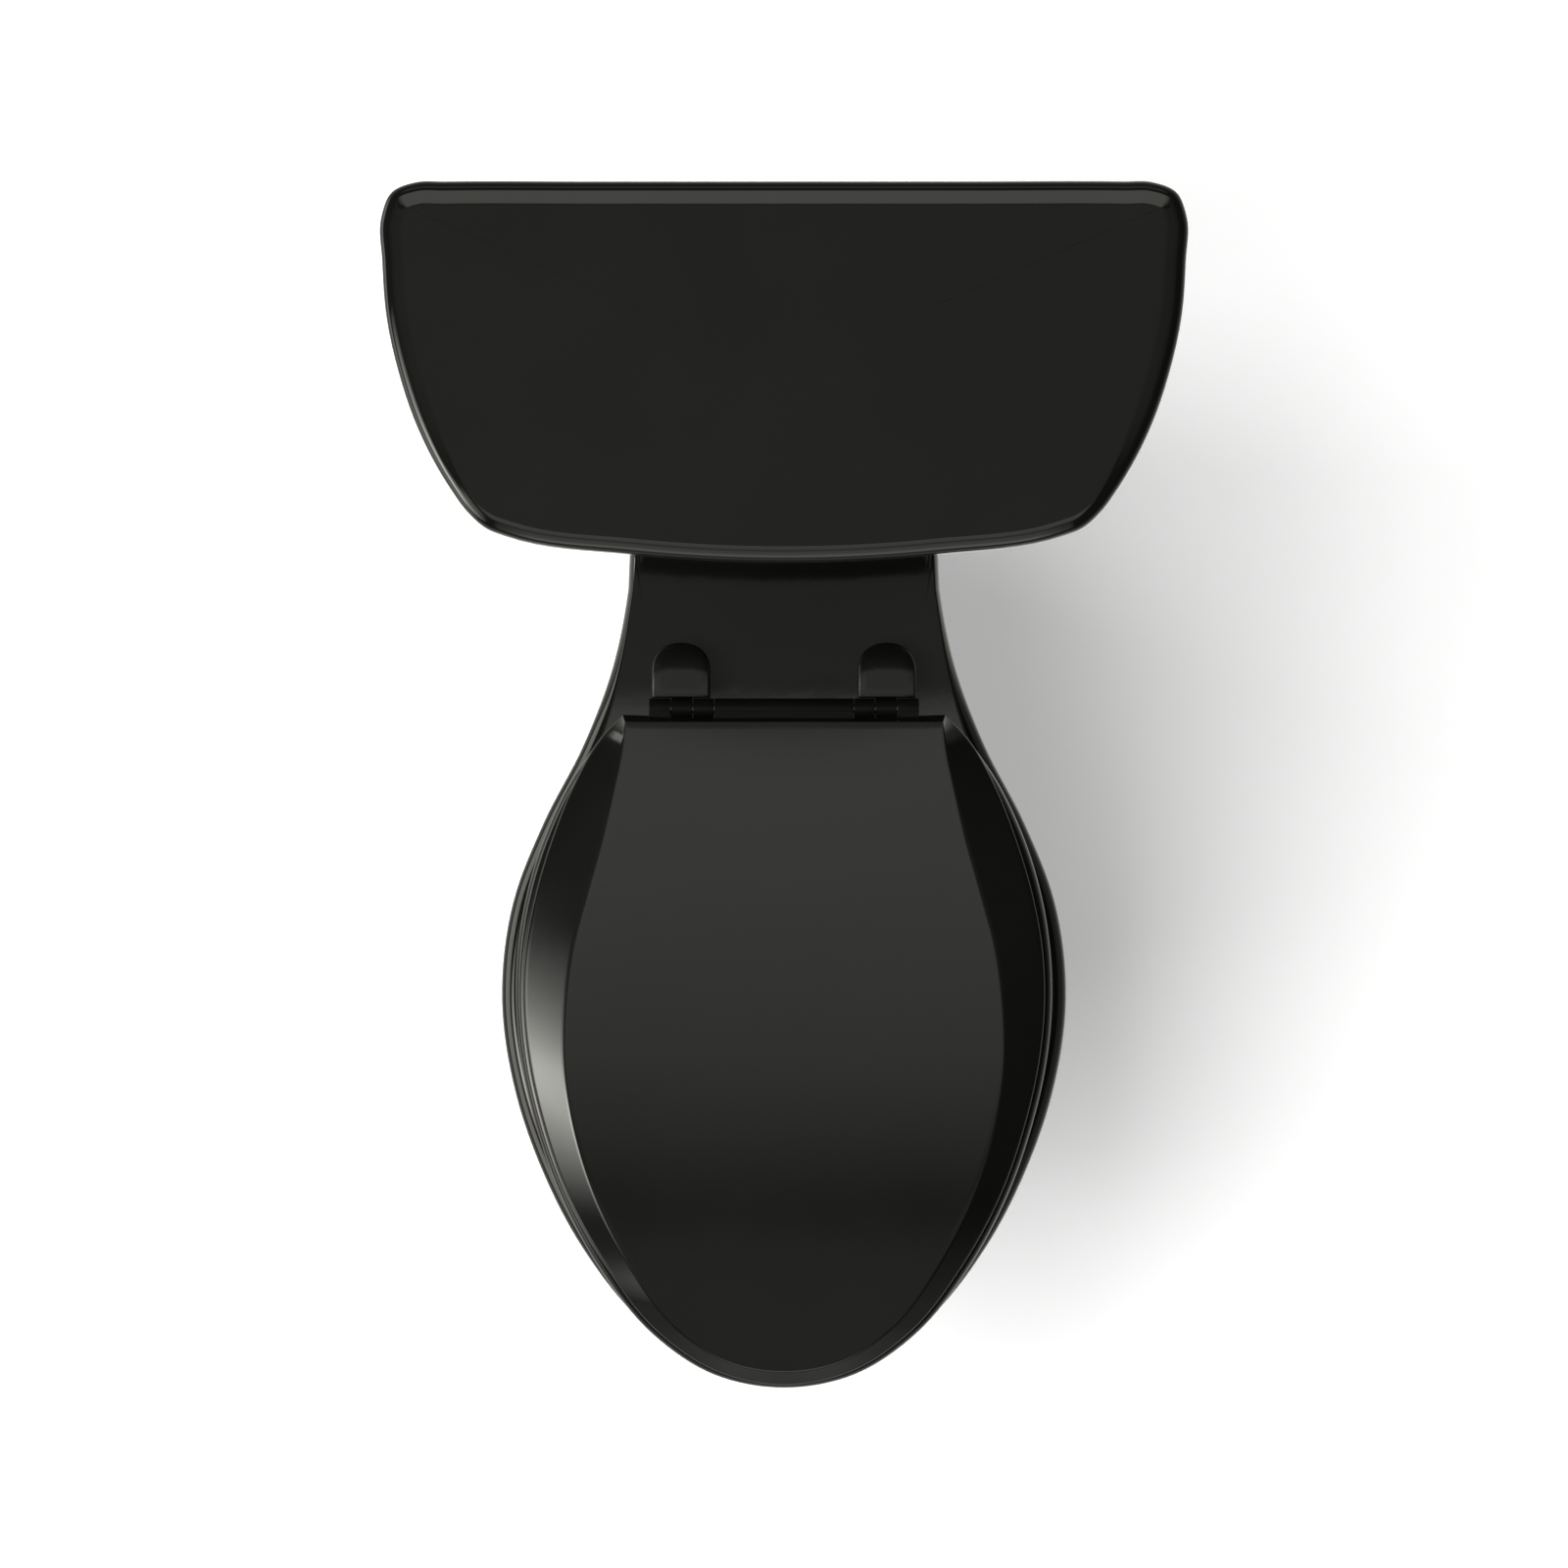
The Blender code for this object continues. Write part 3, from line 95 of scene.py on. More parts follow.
# Round stretches as shares: (across, ahead) of the half width and the length in front, or of the neck's flare.
EGG_FRONT = [(0.95, 0.253), (0.856, 0.455), (0.714, 0.658), (0.4895, 0.8605), (0.268, 0.962), (0.0, 1.0)]
FLARE = [(0.122, 0.19), (0.353, 0.38), (0.671, 0.571), (0.910, 0.762)]
EGG_BACK_SPANS, DECK_CORNER = 9, 0.030

# z, front y, half width, its y, neck half width, its y, back half width, back y
BOWL_LEVELS = [
    (0.0000, -0.2080, 0.1100, -0.0500, 0.1120, 0.105, 0.0800, 0.2050),
    (0.0270, -0.2075, 0.1090, -0.0500, 0.1110, 0.105, 0.0795, 0.2045),
    (0.0355, -0.2000, 0.1010, -0.0510, 0.1000, 0.105, 0.0730, 0.1980),
    (FLANGE_Z, -0.1920, 0.0940, -0.0520, 0.0540, 0.105, 0.0560, 0.1870),
    (0.1000, -0.1800, 0.0850, -0.0650, 0.0465, 0.100, 0.0520, 0.1830),
    (0.1800, -0.1980, 0.0940, -0.0900, 0.0460, 0.080, 0.0520, 0.1850),
    (0.2500, -0.2560, 0.1230, -0.1170, 0.0470, 0.067, 0.0550, 0.1940),
    (0.3200, -0.3250, 0.1590, -0.1300, 0.0485, 0.064, 0.0640, 0.2180),
    (0.3760, -0.3680, 0.1805, -0.1330, 0.0520, 0.068, 0.0880, 0.2750),
    (0.3860, -0.3740, 0.1830, -0.1330, 0.0920, 0.130, 0.1080, 0.3200),
    (0.4020, -0.3828, 0.1864, -0.1330, 0.1028, 0.138, 0.1158, 0.3448),
    (0.4140, -0.3824, 0.1861, -0.1330, 0.1025, 0.138, 0.1155, 0.3445),
    (0.4190, -0.3772, 0.1814, -0.1330, 0.0979, 0.138, 0.1109, 0.3399),
]
# The rounded edge of the rim: distance in from the widest outline, z.
RIM_EDGE = [
    (0.0, 0.4090), (0.0004, 0.4112), (0.0012, 0.4130), (0.0030, 0.4150), (0.0050, 0.4168), (0.0066, 0.4180),
    (0.0080, 0.4187), (0.0098, RIM_Z),
]
# z, half width, its y, front y, back y
WELL_LEVELS = [
    (0.4190, 0.1262, -0.140, -0.3402, 0.0362),
    (0.4150, 0.1215, -0.140, -0.3355, 0.0315),
    (0.3780, 0.1200, -0.140, -0.3340, 0.0300),
    (0.3760, 0.1460, -0.138, -0.3450, 0.0380),
    (0.3150, 0.1300, -0.134, -0.3030, 0.0290),
    (0.2500, 0.0950, -0.120, -0.2300, 0.0080),
    (0.1950, 0.0590, -0.092, -0.1600, -0.0120),
    (0.1540, 0.0230, -0.074, -0.0970, -0.0460),
]
# As the bowl's levels: the space in the pedestal behind and below the well.
PEDESTAL_HOLLOW = [
    (-0.0100, -0.1780, 0.0810, -0.0520, 0.0420, 0.105, 0.0440, 0.1750),
    (0.0362, -0.1780, 0.0810, -0.0520, 0.0420, 0.105, 0.0440, 0.1750),
    (0.1000, -0.1670, 0.0730, -0.0650, 0.0348, 0.100, 0.0400, 0.1720),
    (0.1800, -0.1850, 0.0820, -0.0900, 0.0346, 0.080, 0.0400, 0.1750),
    (0.2500, -0.2100, 0.1000, -0.1100, 0.0350, 0.067, 0.0430, 0.1830),
    (0.3200, 0.0200, 0.0370, 0.0500, 0.0365, 0.064, 0.0520, 0.2060),
    (0.3760, 0.0540, 0.0390, 0.0640, 0.0400, 0.068, 0.0740, 0.2620),
]
# (y, z) along the middle of the trapway, bored in the bowl as far as point TRAP_SPLIT, and of the inlet.
TRAPWAY = [
    (-0.085, 0.180), (-0.040, 0.170), (0.000, 0.1740), (0.032, 0.1915), (0.0665, 0.2265), (0.0773, 0.2507),
    (0.1035, 0.2615), (0.1297, 0.2507), (0.1405, 0.2245), (0.1385, 0.175), (0.129, 0.120), (0.1145, 0.070),
    (OUTLET_Y, 0.020), (OUTLET_Y, 0.001),
]
TRAP_SPLIT = 3
INLET = [(VALVE_Y, 0.440), (VALVE_Y, 0.415), (0.262, 0.398), (0.200, 0.388), (0.110, 0.376), (0.020, 0.360)]


# ---------------- materials
def wire(tree, target, inputs):
    """Set the node's inputs to values, or join them to other nodes' outputs."""
    for name, value in inputs.items():
        if isinstance(value, bpy.types.NodeSocket):
            tree.links.new(value, target.inputs[name])
        else:
            target.inputs[name].default_value = value


def node(tree, kind, inputs, output, **settings):
    """A new shader node's output, with its inputs wired."""
    made = tree.nodes.new(f"ShaderNode{kind}")
    for name, value in settings.items():
        setattr(made, name, value)
    wire(tree, made, inputs)
    return made.outputs[output]


def ramp(tree, value, stops):
    """A colour that follows value through (position, colour) stops."""
    made = tree.nodes.new("ShaderNodeValToRGB")
    tree.links.new(value, made.inputs["Fac"])
    elements = made.color_ramp.elements
    for index in (-1, 0):
        elements[index].position, elements[index].color = stops[index]
    for position, colour in stops[1:-1]:
        elements.new(position).color = colour
    return made.outputs["Color"]


def new_material(name):
    material = bpy.data.materials.new(name)
    material.use_nodes = True
    return material, material.node_tree


def surface(name, dark, light, roughness, grain, depth, metallic=0.0, stretch=(1, 1, 1), ior=1.5):
    """Colour and roughness drift slowly over the surface, and a fine grain of the given depth roughens it."""
    material, tree = new_material(name)
    place = node(tree, "TexCoord", {}, "Object")
    drift = node(tree, "TexNoise", {"Vector": place, "Scale": 7.0, "Detail": 4.0}, "Fac")
    gloss = {"Value": drift, "From Min": 0.3, "From Max": 0.7, "To Min": roughness[0], "To Max": roughness[1]}
    along = node(tree, "Mapping", {"Vector": place, "Scale": stretch}, "Vector")
    fine = node(tree, "TexNoise", {"Vector": along, "Scale": grain, "Detail": 3.0}, "Fac")
    wire(tree, tree.nodes["Principled BSDF"], {
        "Base Color": ramp(tree, drift, [(0.35, (*dark, 1)), (0.7, (*light, 1))]),
        "Roughness": node(tree, "MapRange", gloss, "Result"),
        "Normal": node(tree, "Bump", {"Height": fine, "Strength": 1.0, "Distance": depth}, "Normal"),
        "Metallic": metallic,
        "IOR": ior,
    })
    return material


LOOKS = {
    "glazed_china": surface(
        "black_glaze", (0.0028, 0.0028, 0.0026), (0.0042, 0.0041, 0.0038), (0.045, 0.075), 38, 0.000035),
    "bisque": surface("raw_china", (0.46, 0.43, 0.38), (0.6, 0.57, 0.52), (0.75, 0.9), 420, 0.00012),
    "seat_plastic": surface(
        "polished_thermoset", (0.003, 0.003, 0.0028), (0.0042, 0.0041, 0.0039), (0.1, 0.14), 900, 0.000006),
    "cap_plastic": surface(
        "satin_thermoset", (0.0026, 0.0026, 0.0024), (0.0038, 0.0037, 0.0035), (0.26, 0.34), 800, 0.000012),
    # Painted shade: the hinge barrels, arms and posts take a darker colour and a low IOR that dims their
    # reflections, standing in for the shade in the gap between the deck and the cover; their satin roughness is
    # their own finish.
    "hinge_plastic": surface(
        "hinge_thermoset_painted_shade", (0.0022, 0.0022, 0.002), (0.0032, 0.0031, 0.0029), (0.36, 0.44), 800, 0.000012, ior=1.22),
    "lever_enamel": surface(
        "lever_enamel", (0.01, 0.01, 0.01), (0.014, 0.014, 0.014), (0.1, 0.16), 160, 0.00002),
    "black_rubber": surface(
        "moulded_rubber", (0.014, 0.014, 0.014), (0.028, 0.028, 0.027), (0.6, 0.78), 1400, 0.00005),
    "red_rubber": surface(
        "flapper_rubber", (0.34, 0.035, 0.028), (0.46, 0.06, 0.045), (0.48, 0.64), 1100, 0.00004),
    "white_plastic": surface("white_acetal", (0.74, 0.74, 0.7), (0.83, 0.83, 0.8), (0.3, 0.42), 700, 0.00002),
    "grey_plastic": surface("grey_acetal", (0.24, 0.25, 0.26), (0.33, 0.34, 0.35), (0.36, 0.48), 700, 0.00002),
    "brass": surface(
        "turned_brass", (0.58, 0.4, 0.16), (0.78, 0.6, 0.3), (0.22, 0.38), 500, 0.00003, 1.0, (1, 1, 6)),
    "steel": surface(
        "stainless_steel", (0.5, 0.5, 0.5), (0.66, 0.66, 0.65), (0.22, 0.34), 600, 0.00002, 1.0, (6, 1, 1)),
    "vinyl_tube": surface("vinyl", (0.06, 0.06, 0.06), (0.11, 0.11, 0.11), (0.24, 0.36), 500, 0.00002),
}


# ---------------- curves and outlines
def smooth_points(run, steps):
    """Points on a smooth curve through run[1:-1]. Its first and last entries only set the end directions."""
    run = [np.array(p, float) for p in run]
    gaps = [np.linalg.norm(b - a) for a, b in zip(run, run[1:])]

    def slope(i):
        back = (run[i] - run[i - 1]) / gaps[i - 1]
        ahead = (run[i + 1] - run[i]) / gaps[i]
        return (back * gaps[i] + ahead * gaps[i - 1]) / (gaps[i] + gaps[i - 1])

    points = []
    for i in range(1, len(run) - 2):
        a, b = run[i], run[i + 1]
        leave, arrive = slope(i) * gaps[i], slope(i + 1) * gaps[i]
        for k in range(steps):
            t = k / steps
            points.append(
                a * (2 * t**3 - 3 * t**2 + 1) + leave * (t**3 - 2 * t**2 + t)
                + b * (3 * t**2 - 2 * t**3) + arrive * (t**3 - t**2)
            )
    return points + [run[-2]]


def open_curve(points, steps):
    """A smooth curve through every point, ends included. A point can be a whole row of measures."""
    points = [np.array(p, float) for p in points]
    before, after = 2 * points[0] - points[1], 2 * points[-1] - points[-2]
    return smooth_points([before, *points, after], steps)


def closed_outline(half, steps, corner=None):
    """The whole outline from its right half, which starts and ends on the middle plane."""
    half = [np.array(p, float) for p in half]
    flip = np.array([-1.0, 1.0])
    if corner is None:
        right = smooth_points([half[1] * flip, *half, half[-2] * flip], steps)
    else:
        back, rest = half[: corner + 1], half[corner:]
        right = smooth_points([back[1] * flip, *back, 2 * back[-1] - back[-2]], steps)[:-1]
        right += smooth_points([2 * rest[0] - rest[1], *rest, rest[-2] * flip], steps)
    return np.array(right + [p * flip for p in reversed(right[1:-1])])


def inset(outline, distance):
    """The outline moved inwards by distance along its normals."""
    along = np.roll(outline, -1, axis=0) - np.roll(outline, 1, axis=0)
    along /= np.linalg.norm(along, axis=1)[:, None]
    return outline + distance * np.column_stack([along[:, 1], -along[:, 0]])


def toward(outline, middle, share):
    """The outline shrunk to this share of its size about a middle point."""
    return np.array(middle) + (outline - np.array(middle)) * share


def shrink(outline, distance):
    """The outline scaled about its middle so that every side moves in by distance."""
    low, high = outline.min(axis=0), outline.max(axis=0)
    middle, half = (low + high) / 2, (high - low) / 2
    return middle + (outline - middle) * (1 - distance / half)


def egg_half(half_width, widest_y, front_y, back_y):
    """Half an egg: a quarter ellipse behind its widest point, EGG_FRONT ahead of it."""
    back = []
    for i in range(EGG_BACK_SPANS):
        angle = math.pi / 2 * (1 - i / EGG_BACK_SPANS)
        back.append((half_width * math.cos(angle), widest_y + (back_y - widest_y) * math.sin(angle)))
    front = [(half_width * across, widest_y + (front_y - widest_y) * ahead) for across, ahead in EGG_FRONT]
    return [*back, (half_width, widest_y), *front]


def bowl_half(front_y, half_width, widest_y, neck, neck_y, back, back_y):
    """Half a bowl: a deck with rounded back corners, a neck, a flare and an egg's front."""
    corner = DECK_CORNER
    deck = [
        (0.0, back_y), (back - corner, back_y), (back - 0.29 * corner, back_y - 0.29 * corner),
        (back, back_y - corner), (neck, neck_y),
    ]
    flare = [
        (neck + (half_width - neck) * across, neck_y + (widest_y - neck_y) * ahead) for across, ahead in FLARE
    ]
    front = [(half_width * across, widest_y + (front_y - widest_y) * ahead) for across, ahead in EGG_FRONT]
    return [*deck, *flare, (half_width, widest_y), *front]


def at_height(outline, z):
    return np.column_stack([outline, np.broadcast_to(z, len(outline))])


def smooth_step(value, low, high):
    t = np.clip((value - low) / (high - low), 0.0, 1.0)
    return t * t * (3 - 2 * t)


def raise_shelf(loop):
    """The loop with its stretch under the tank lifted to the shelf, less so down the pedestal."""
    lifted = loop.copy()
    share = smooth_step(loop[:, 2], *SHELF_BLEND_Z)
    t = np.clip((loop[:, 1] - SHELF_Y[0]) / (SHELF_Y[1] - SHELF_Y[0]), 0.0, 1.0)
    lifted[:, 2] += SHELF_RISE * share * t**3 * (10 - 15 * t + 6 * t**2)
    return lifted


# ---------------- solids
def shade(obj):
    """Smooth, with edges sharper than 35 degrees kept sharp."""
    obj.data.shade_smooth()
    obj.data.set_sharp_from_angle(angle=math.radians(35))


def new_object(name, bm, material):
    mesh = bpy.data.meshes.new(name)
    bm.to_mesh(mesh)
    bm.free()
    mesh.materials.append(material)
    obj = bpy.data.objects.new(name, mesh)
    bpy.context.scene.collection.objects.link(obj)
    return obj


def piece(name, bm, look):
    bmesh.ops.recalc_face_normals(bm, faces=bm.faces)
    obj = new_object(name, bm, LOOKS[look])
    shade(obj)
    return obj


def loft(name, loops, look, ring=False):
    """A skin through loops of equally many points, capped at its ends or joined where ring is set."""
    bm = bmesh.new()
    rows = [[bm.verts.new(p) for p in loop] for loop in loops]
    pairs = list(zip(rows, rows[1:]))
    if ring:
        pairs.append((rows[-1], rows[0]))
    else:
        bm.faces.new(rows[0])
        bm.faces.new(rows[-1])
    for lower, upper in pairs:
        for i in range(len(lower)):
            bm.faces.new((lower[i - 1], lower[i], upper[i], upper[i - 1]))
    return piece(name, bm, look)


def turned(name, profile, centre, look, steps=64, axis=2):
    """A closed section of (radius, height) turned about an axis through centre. Points on the axis are shared."""
    bm = bmesh.new()
    count = len(profile)
    solid = profile[0][0] == 0 and profile[-1][0] == 0
    columns = []
    ends = {i: None for i, (radius, _) in enumerate(profile) if radius == 0}
    for k in range(steps):
        angle = 2 * math.pi * k / steps
        column = []
        for i, (radius, height) in enumerate(profile):
            if i in ends and ends[i] is not None:
                column.append(ends[i])
                continue
            spot = (radius * math.cos(angle), radius * math.sin(angle), height)
            spot = {2: spot, 0: (spot[2], spot[0], spot[1])}[axis]
            vert = bm.verts.new([a + b for a, b in zip(spot, centre)])
            if i in ends:
                ends[i] = vert
            column.append(vert)
        columns.append(column)
    for k in range(steps):
        here, there = columns[k], columns[(k + 1) % steps]
        for i in range(count - 1 if solid else count):
            j = (i + 1) % count
            corners = [here[i], here[j], there[j], there[i]]
            corners = [v for n, v in enumerate(corners) if v not in corners[:n]]
            if len(corners) > 2:
                bm.faces.new(corners)
    return piece(name, bm, look)


def rounded(corners, radius, steps=4):
    """A closed section with every corner that lies off the axis rounded."""
    points = []
    count = len(corners)
    for i, corner in enumerate(corners):
        here = np.array(corner, float)
        before, after = np.array(corners[i - 1], float), np.array(corners[(i + 1) % count], float)
        if corner[0] == 0:
            points.append(tuple(here))
            continue
        back, ahead = before - here, after - here
        reach = min(radius, 0.45 * np.linalg.norm(back), 0.45 * np.linalg.norm(ahead))
        start, end = here + back / np.linalg.norm(back) * reach, here + ahead / np.linalg.norm(ahead) * reach
        for k in range(steps + 1):
            t = k / steps
            points.append(tuple(start * (1 - t) ** 2 + 2 * here * t * (1 - t) + end * t**2))
    return points


def block(name, low, high, look, radius=0.0):
    """A box between two corners, with its edges rounded where a radius is set."""
    bm = bmesh.new()
    bmesh.ops.create_cube(bm, size=1.0)
    bmesh.ops.scale(bm, vec=[b - a for a, b in zip(low, high)], verts=bm.verts)
    bmesh.ops.translate(bm, vec=[(a + b) / 2 for a, b in zip(low, high)], verts=bm.verts)
    if radius:
        bmesh.ops.bevel(bm, geom=bm.edges[:], offset=radius, segments=4, profile=0.5, affect="EDGES")
    return piece(name, bm, look)


def rod(name, start, end, radius, look, edge=0.0, steps=48):
    """A round bar along X or Z."""
    axis = 0 if abs(end[0] - start[0]) > abs(end[2] - start[2]) else 2
    length = end[axis] - start[axis]
    low, high = min(0.0, length), max(0.0, length)
    section = [(0.0, high), (radius, high), (radius, low), (0.0, low)]
    return turned(name, rounded(section, edge) if edge else section, start, look, steps, axis)


def tube_loops(points, radius, sides):
    """Rings around a line of points, kept from twisting."""
    points = [np.array(p, float) for p in points]
    ahead = [b - a for a, b in zip(points, points[1:])]
    along = [ahead[0], *[a + b for a, b in zip(ahead, ahead[1:])], ahead[-1]]
    runs_along_x = abs(along[0][0]) >= 0.5 * np.linalg.norm(along[0])
    side = np.cross(along[0], (0, 1, 0) if runs_along_x else (1, 0, 0))
    loops = []
    for place, direction in zip(points, along):
        direction = direction / np.linalg.norm(direction)
        side = side - direction * np.dot(side, direction)
        side /= np.linalg.norm(side)
        up = np.cross(direction, side)
        angles = [2 * math.pi * k / sides for k in range(sides)]
        loops.append([place + radius * (side * math.cos(a) + up * math.sin(a)) for a in angles])
    return loops


def tube(name, points, radius, look, sides=24):
    """A round bar along points, with flat ends."""
    return loft(name, tube_loops(points, radius, sides), look)


def close_needles(mesh):
    """Close each needle-thin gap: its long edge is split where the third vertex lies on it."""
    bm = bmesh.new()
    bm.from_mesh(mesh)
    for _ in range(12):
        edges = [edge for edge in bm.edges if len(edge.link_faces) == 1]
        if not edges:
            break
        longest = max(edges, key=lambda edge: edge.calc_length())
        start, end = longest.verts
        along = end.co - start.co
        third = min(
            {vert for edge in edges for vert in edge.verts} - {start, end},
            key=lambda vert: (vert.co - start.co).length + (vert.co - end.co).length,
        )
        share = (third.co - start.co).dot(along) / along.length_squared
        _, added = bmesh.utils.edge_split(longest, start, share)
        bmesh.ops.weld_verts(bm, targetmap={added: third})
    bm.to_mesh(mesh)
    bm.free()


def combine(obj, others, operation="DIFFERENCE"):
    """The boolean of obj and the others, made a plain mesh. The others are used up.

    Triangles keep every face flat, which the solver needs to close its cuts."""
    for other in others:
        obj.modifiers.new("flat", "TRIANGULATE")
        other.modifiers.new("flat", "TRIANGULATE")
        modifier = obj.modifiers.new("join", "BOOLEAN")
        modifier.operation = operation
        modifier.material_mode = "TRANSFER"
        modifier.object = other
    bpy.context.view_layer.update()
    graph = bpy.context.evaluated_depsgraph_get()
    mesh = bpy.data.meshes.new_from_object(obj.evaluated_get(graph))
    obj.modifiers.clear()
    close_needles(mesh)
    obj.data = mesh
    mesh.name = obj.name
    for other in others:
        bpy.data.objects.remove(other)
    shade(obj)
    return obj


def settle(obj, body, nodes):
    """The piece rides on its body and stands for these CAD nodes."""
    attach(obj, body)
    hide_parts(*nodes)


# ---------------- the bowl
def make_bowl():
    steps = 8
    outside = []
    for z, *row in open_curve(BOWL_LEVELS[:-1], 4)[:-2]:
        outside.append(raise_shelf(at_height(closed_outline(bowl_half(*row), steps), z)))
    widest = closed_outline(bowl_half(*BOWL_LEVELS[-2][1:]), steps)
    inward = inset(widest, 1.0) - widest
    narrow = 1 - 0.65 * smooth_step(widest[:, 1], 0.02, 0.13)
    for distance, z in RIM_EDGE:
        outside.append(raise_shelf(at_height(widest + inward * (distance * narrow)[:, None], z)))
    well = [at_height(closed_outline(egg_half(*row), steps), z) for z, *row in open_curve(WELL_LEVELS, 4)]
    deck = []
    for share in np.linspace(0, 1, 90)[1:-1]:
        flat = outside[-1][:, :2] * (1 - share) + well[0][:, :2] * share
        deck.append(raise_shelf(at_height(flat, RIM_Z)))
    bowl = loft("bowl_china", [*outside, *deck, *well], "glazed_china")

    hollow_levels = open_curve(PEDESTAL_HOLLOW, 3)
    rooms = [raise_shelf(at_height(closed_outline(bowl_half(*row), 4), z)) for z, *row in hollow_levels]
    hollow = loft("hollow", rooms, "bisque")
    skin_levels = open_curve(WELL_LEVELS[3:], 2)
    shells = [
        at_height(inset(closed_outline(egg_half(*row), 3), -WELL_WALL), z - WELL_WALL / 2) for z, *row in skin_levels
    ]
    skin = loft("skin", shells, "bisque")
    mouth, _ = trapway_lines()
    inlet = open_curve([(0.0, y, z) for y, z in INLET], 4)
    skins = [tube("mouth_skin", mouth[:-1], TRAP_R + TRAP_WALL, "bisque", 32)]
    skins.append(tube("inlet_skin", inlet, INLET_R + TRAP_WALL, "bisque", 32))
    combine(hollow, [skin, *skins])
    cutters = [hollow, tube("mouth", mouth, TRAP_R, "glazed_china", 32)]
    cutters.append(tube("inlet", inlet, INLET_R, "glazed_china", 32))
    cutters.append(rod("recess", (0, VALVE_Y, 0.422), (0, VALVE_Y, 0.46), 0.055, "bisque", steps=96))
    for _, sign in SIDES:
        holes = (
            (SEAT_BOLT_X, SEAT_BOLT_Y, 0.36, 0.46, 0.0065),
            (SEAT_BOLT_X, SEAT_BOLT_Y, 0.33, SEAT_NUT_Z, 0.011),
            (TANK_BOLT_X, VALVE_Y, 0.36, 0.46, 0.0065),
            (TANK_BOLT_X, VALVE_Y, 0.36, TANK_NUT_Z, 0.012),
            (FLOOR_BOLT_X, OUTLET_Y, -0.01, 0.06, 0.0065),
            (FLOOR_BOLT_X, OUTLET_Y, -0.01, 0.008, 0.016),
        )
        for x, y, low, high, radius in holes:
            cutters.append(rod("hole", (sign * x, y, low), (sign * x, y, high), radius, "glazed_china"))
    combine(bowl, cutters)
    bare_foot(bowl)
    settle(bowl, "toilet", ["bowl"])


def trapway_lines():
    """The stretch bored in the bowl, with a last point past its end, and the pipe's stretch after a gap."""
    steps = 5
    line = open_curve([(0.0, y, z) for y, z in TRAPWAY], steps)
    split = steps * TRAP_SPLIT
    end, onward = line[split], line[split + 1] - line[split - 1]
    onward /= np.linalg.norm(onward)
    return [*line[:split], end, end + 0.01 * onward], [end + 0.0003 * onward, *line[split + 1:]]


def make_trapway():
    _, line = trapway_lines()
    outer, bore = tube_loops(line, TRAP_R + TRAP_WALL - 0.001, 48), tube_loops(line, TRAP_R, 48)
    pipe = loft("trapway_pipe", [*outer, *reversed(bore)], "glazed_china", ring=True)
    settle(pipe, "toilet", ["trapway"])


def bare_foot(bowl):
    """The ring that stands on the floor carries no glaze."""
    slots = [material.name for material in bowl.data.materials]
    if LOOKS["bisque"].name not in slots:
        bowl.data.materials.append(LOOKS["bisque"])
        slots.append(LOOKS["bisque"].name)
    bare = slots.index(LOOKS["bisque"].name)
    for face in bowl.data.polygons:
        if face.center.z < 0.0005 and face.normal.z < -0.9:
            face.material_index = bare


def make_floor_caps():
    foot = FLANGE_Z + 0.0003
    for side, sign in SIDES:
        centre = (sign * FLOOR_BOLT_X, OUTLET_Y, foot)
        dome = [(0.0, 0.0275), (0.005, 0.027), (0.009, 0.0258), (0.012, 0.0236), (0.0138, 0.0205)]
        wall = [(0.0147, 0.013), (0.0151, 0.0032), (0.0157, 0.0024), (0.0158, 0.0006), (0.0155, 0.0)]
        inside = [(0.0141, 0.0), (0.0124, 0.019), (0.008, 0.024), (0.0, 0.0255)]
        cap = turned(f"floor_cap_{side}", dome + wall + inside, centre, "seat_plastic")
        settle(cap, "toilet", [f"floor_bolt_cap_{side}"])


# ---------------- the tank and its lid
def lid_outline(steps):
    return closed_outline([(x, BACK_Y - ahead) for x, ahead in LID_HALF], steps)


def tank_loop(z, extra=0.0):
    """The tank's outline at height z, which tapers to its foot, moved in by extra."""
    foot = 1.0 - float(smooth_step(z, TANK_Z[0] - 0.08, 0.68))
    outline = inset(lid_outline(5), LID_OVERHANG)
    outline[:, 0] *= 1 - 0.17 * foot
    outline[:, 1] = TANK_BACK_Y - (TANK_BACK_Y - outline[:, 1]) * (1 - 0.21 * foot)
    return at_height(shrink(outline, extra), z)


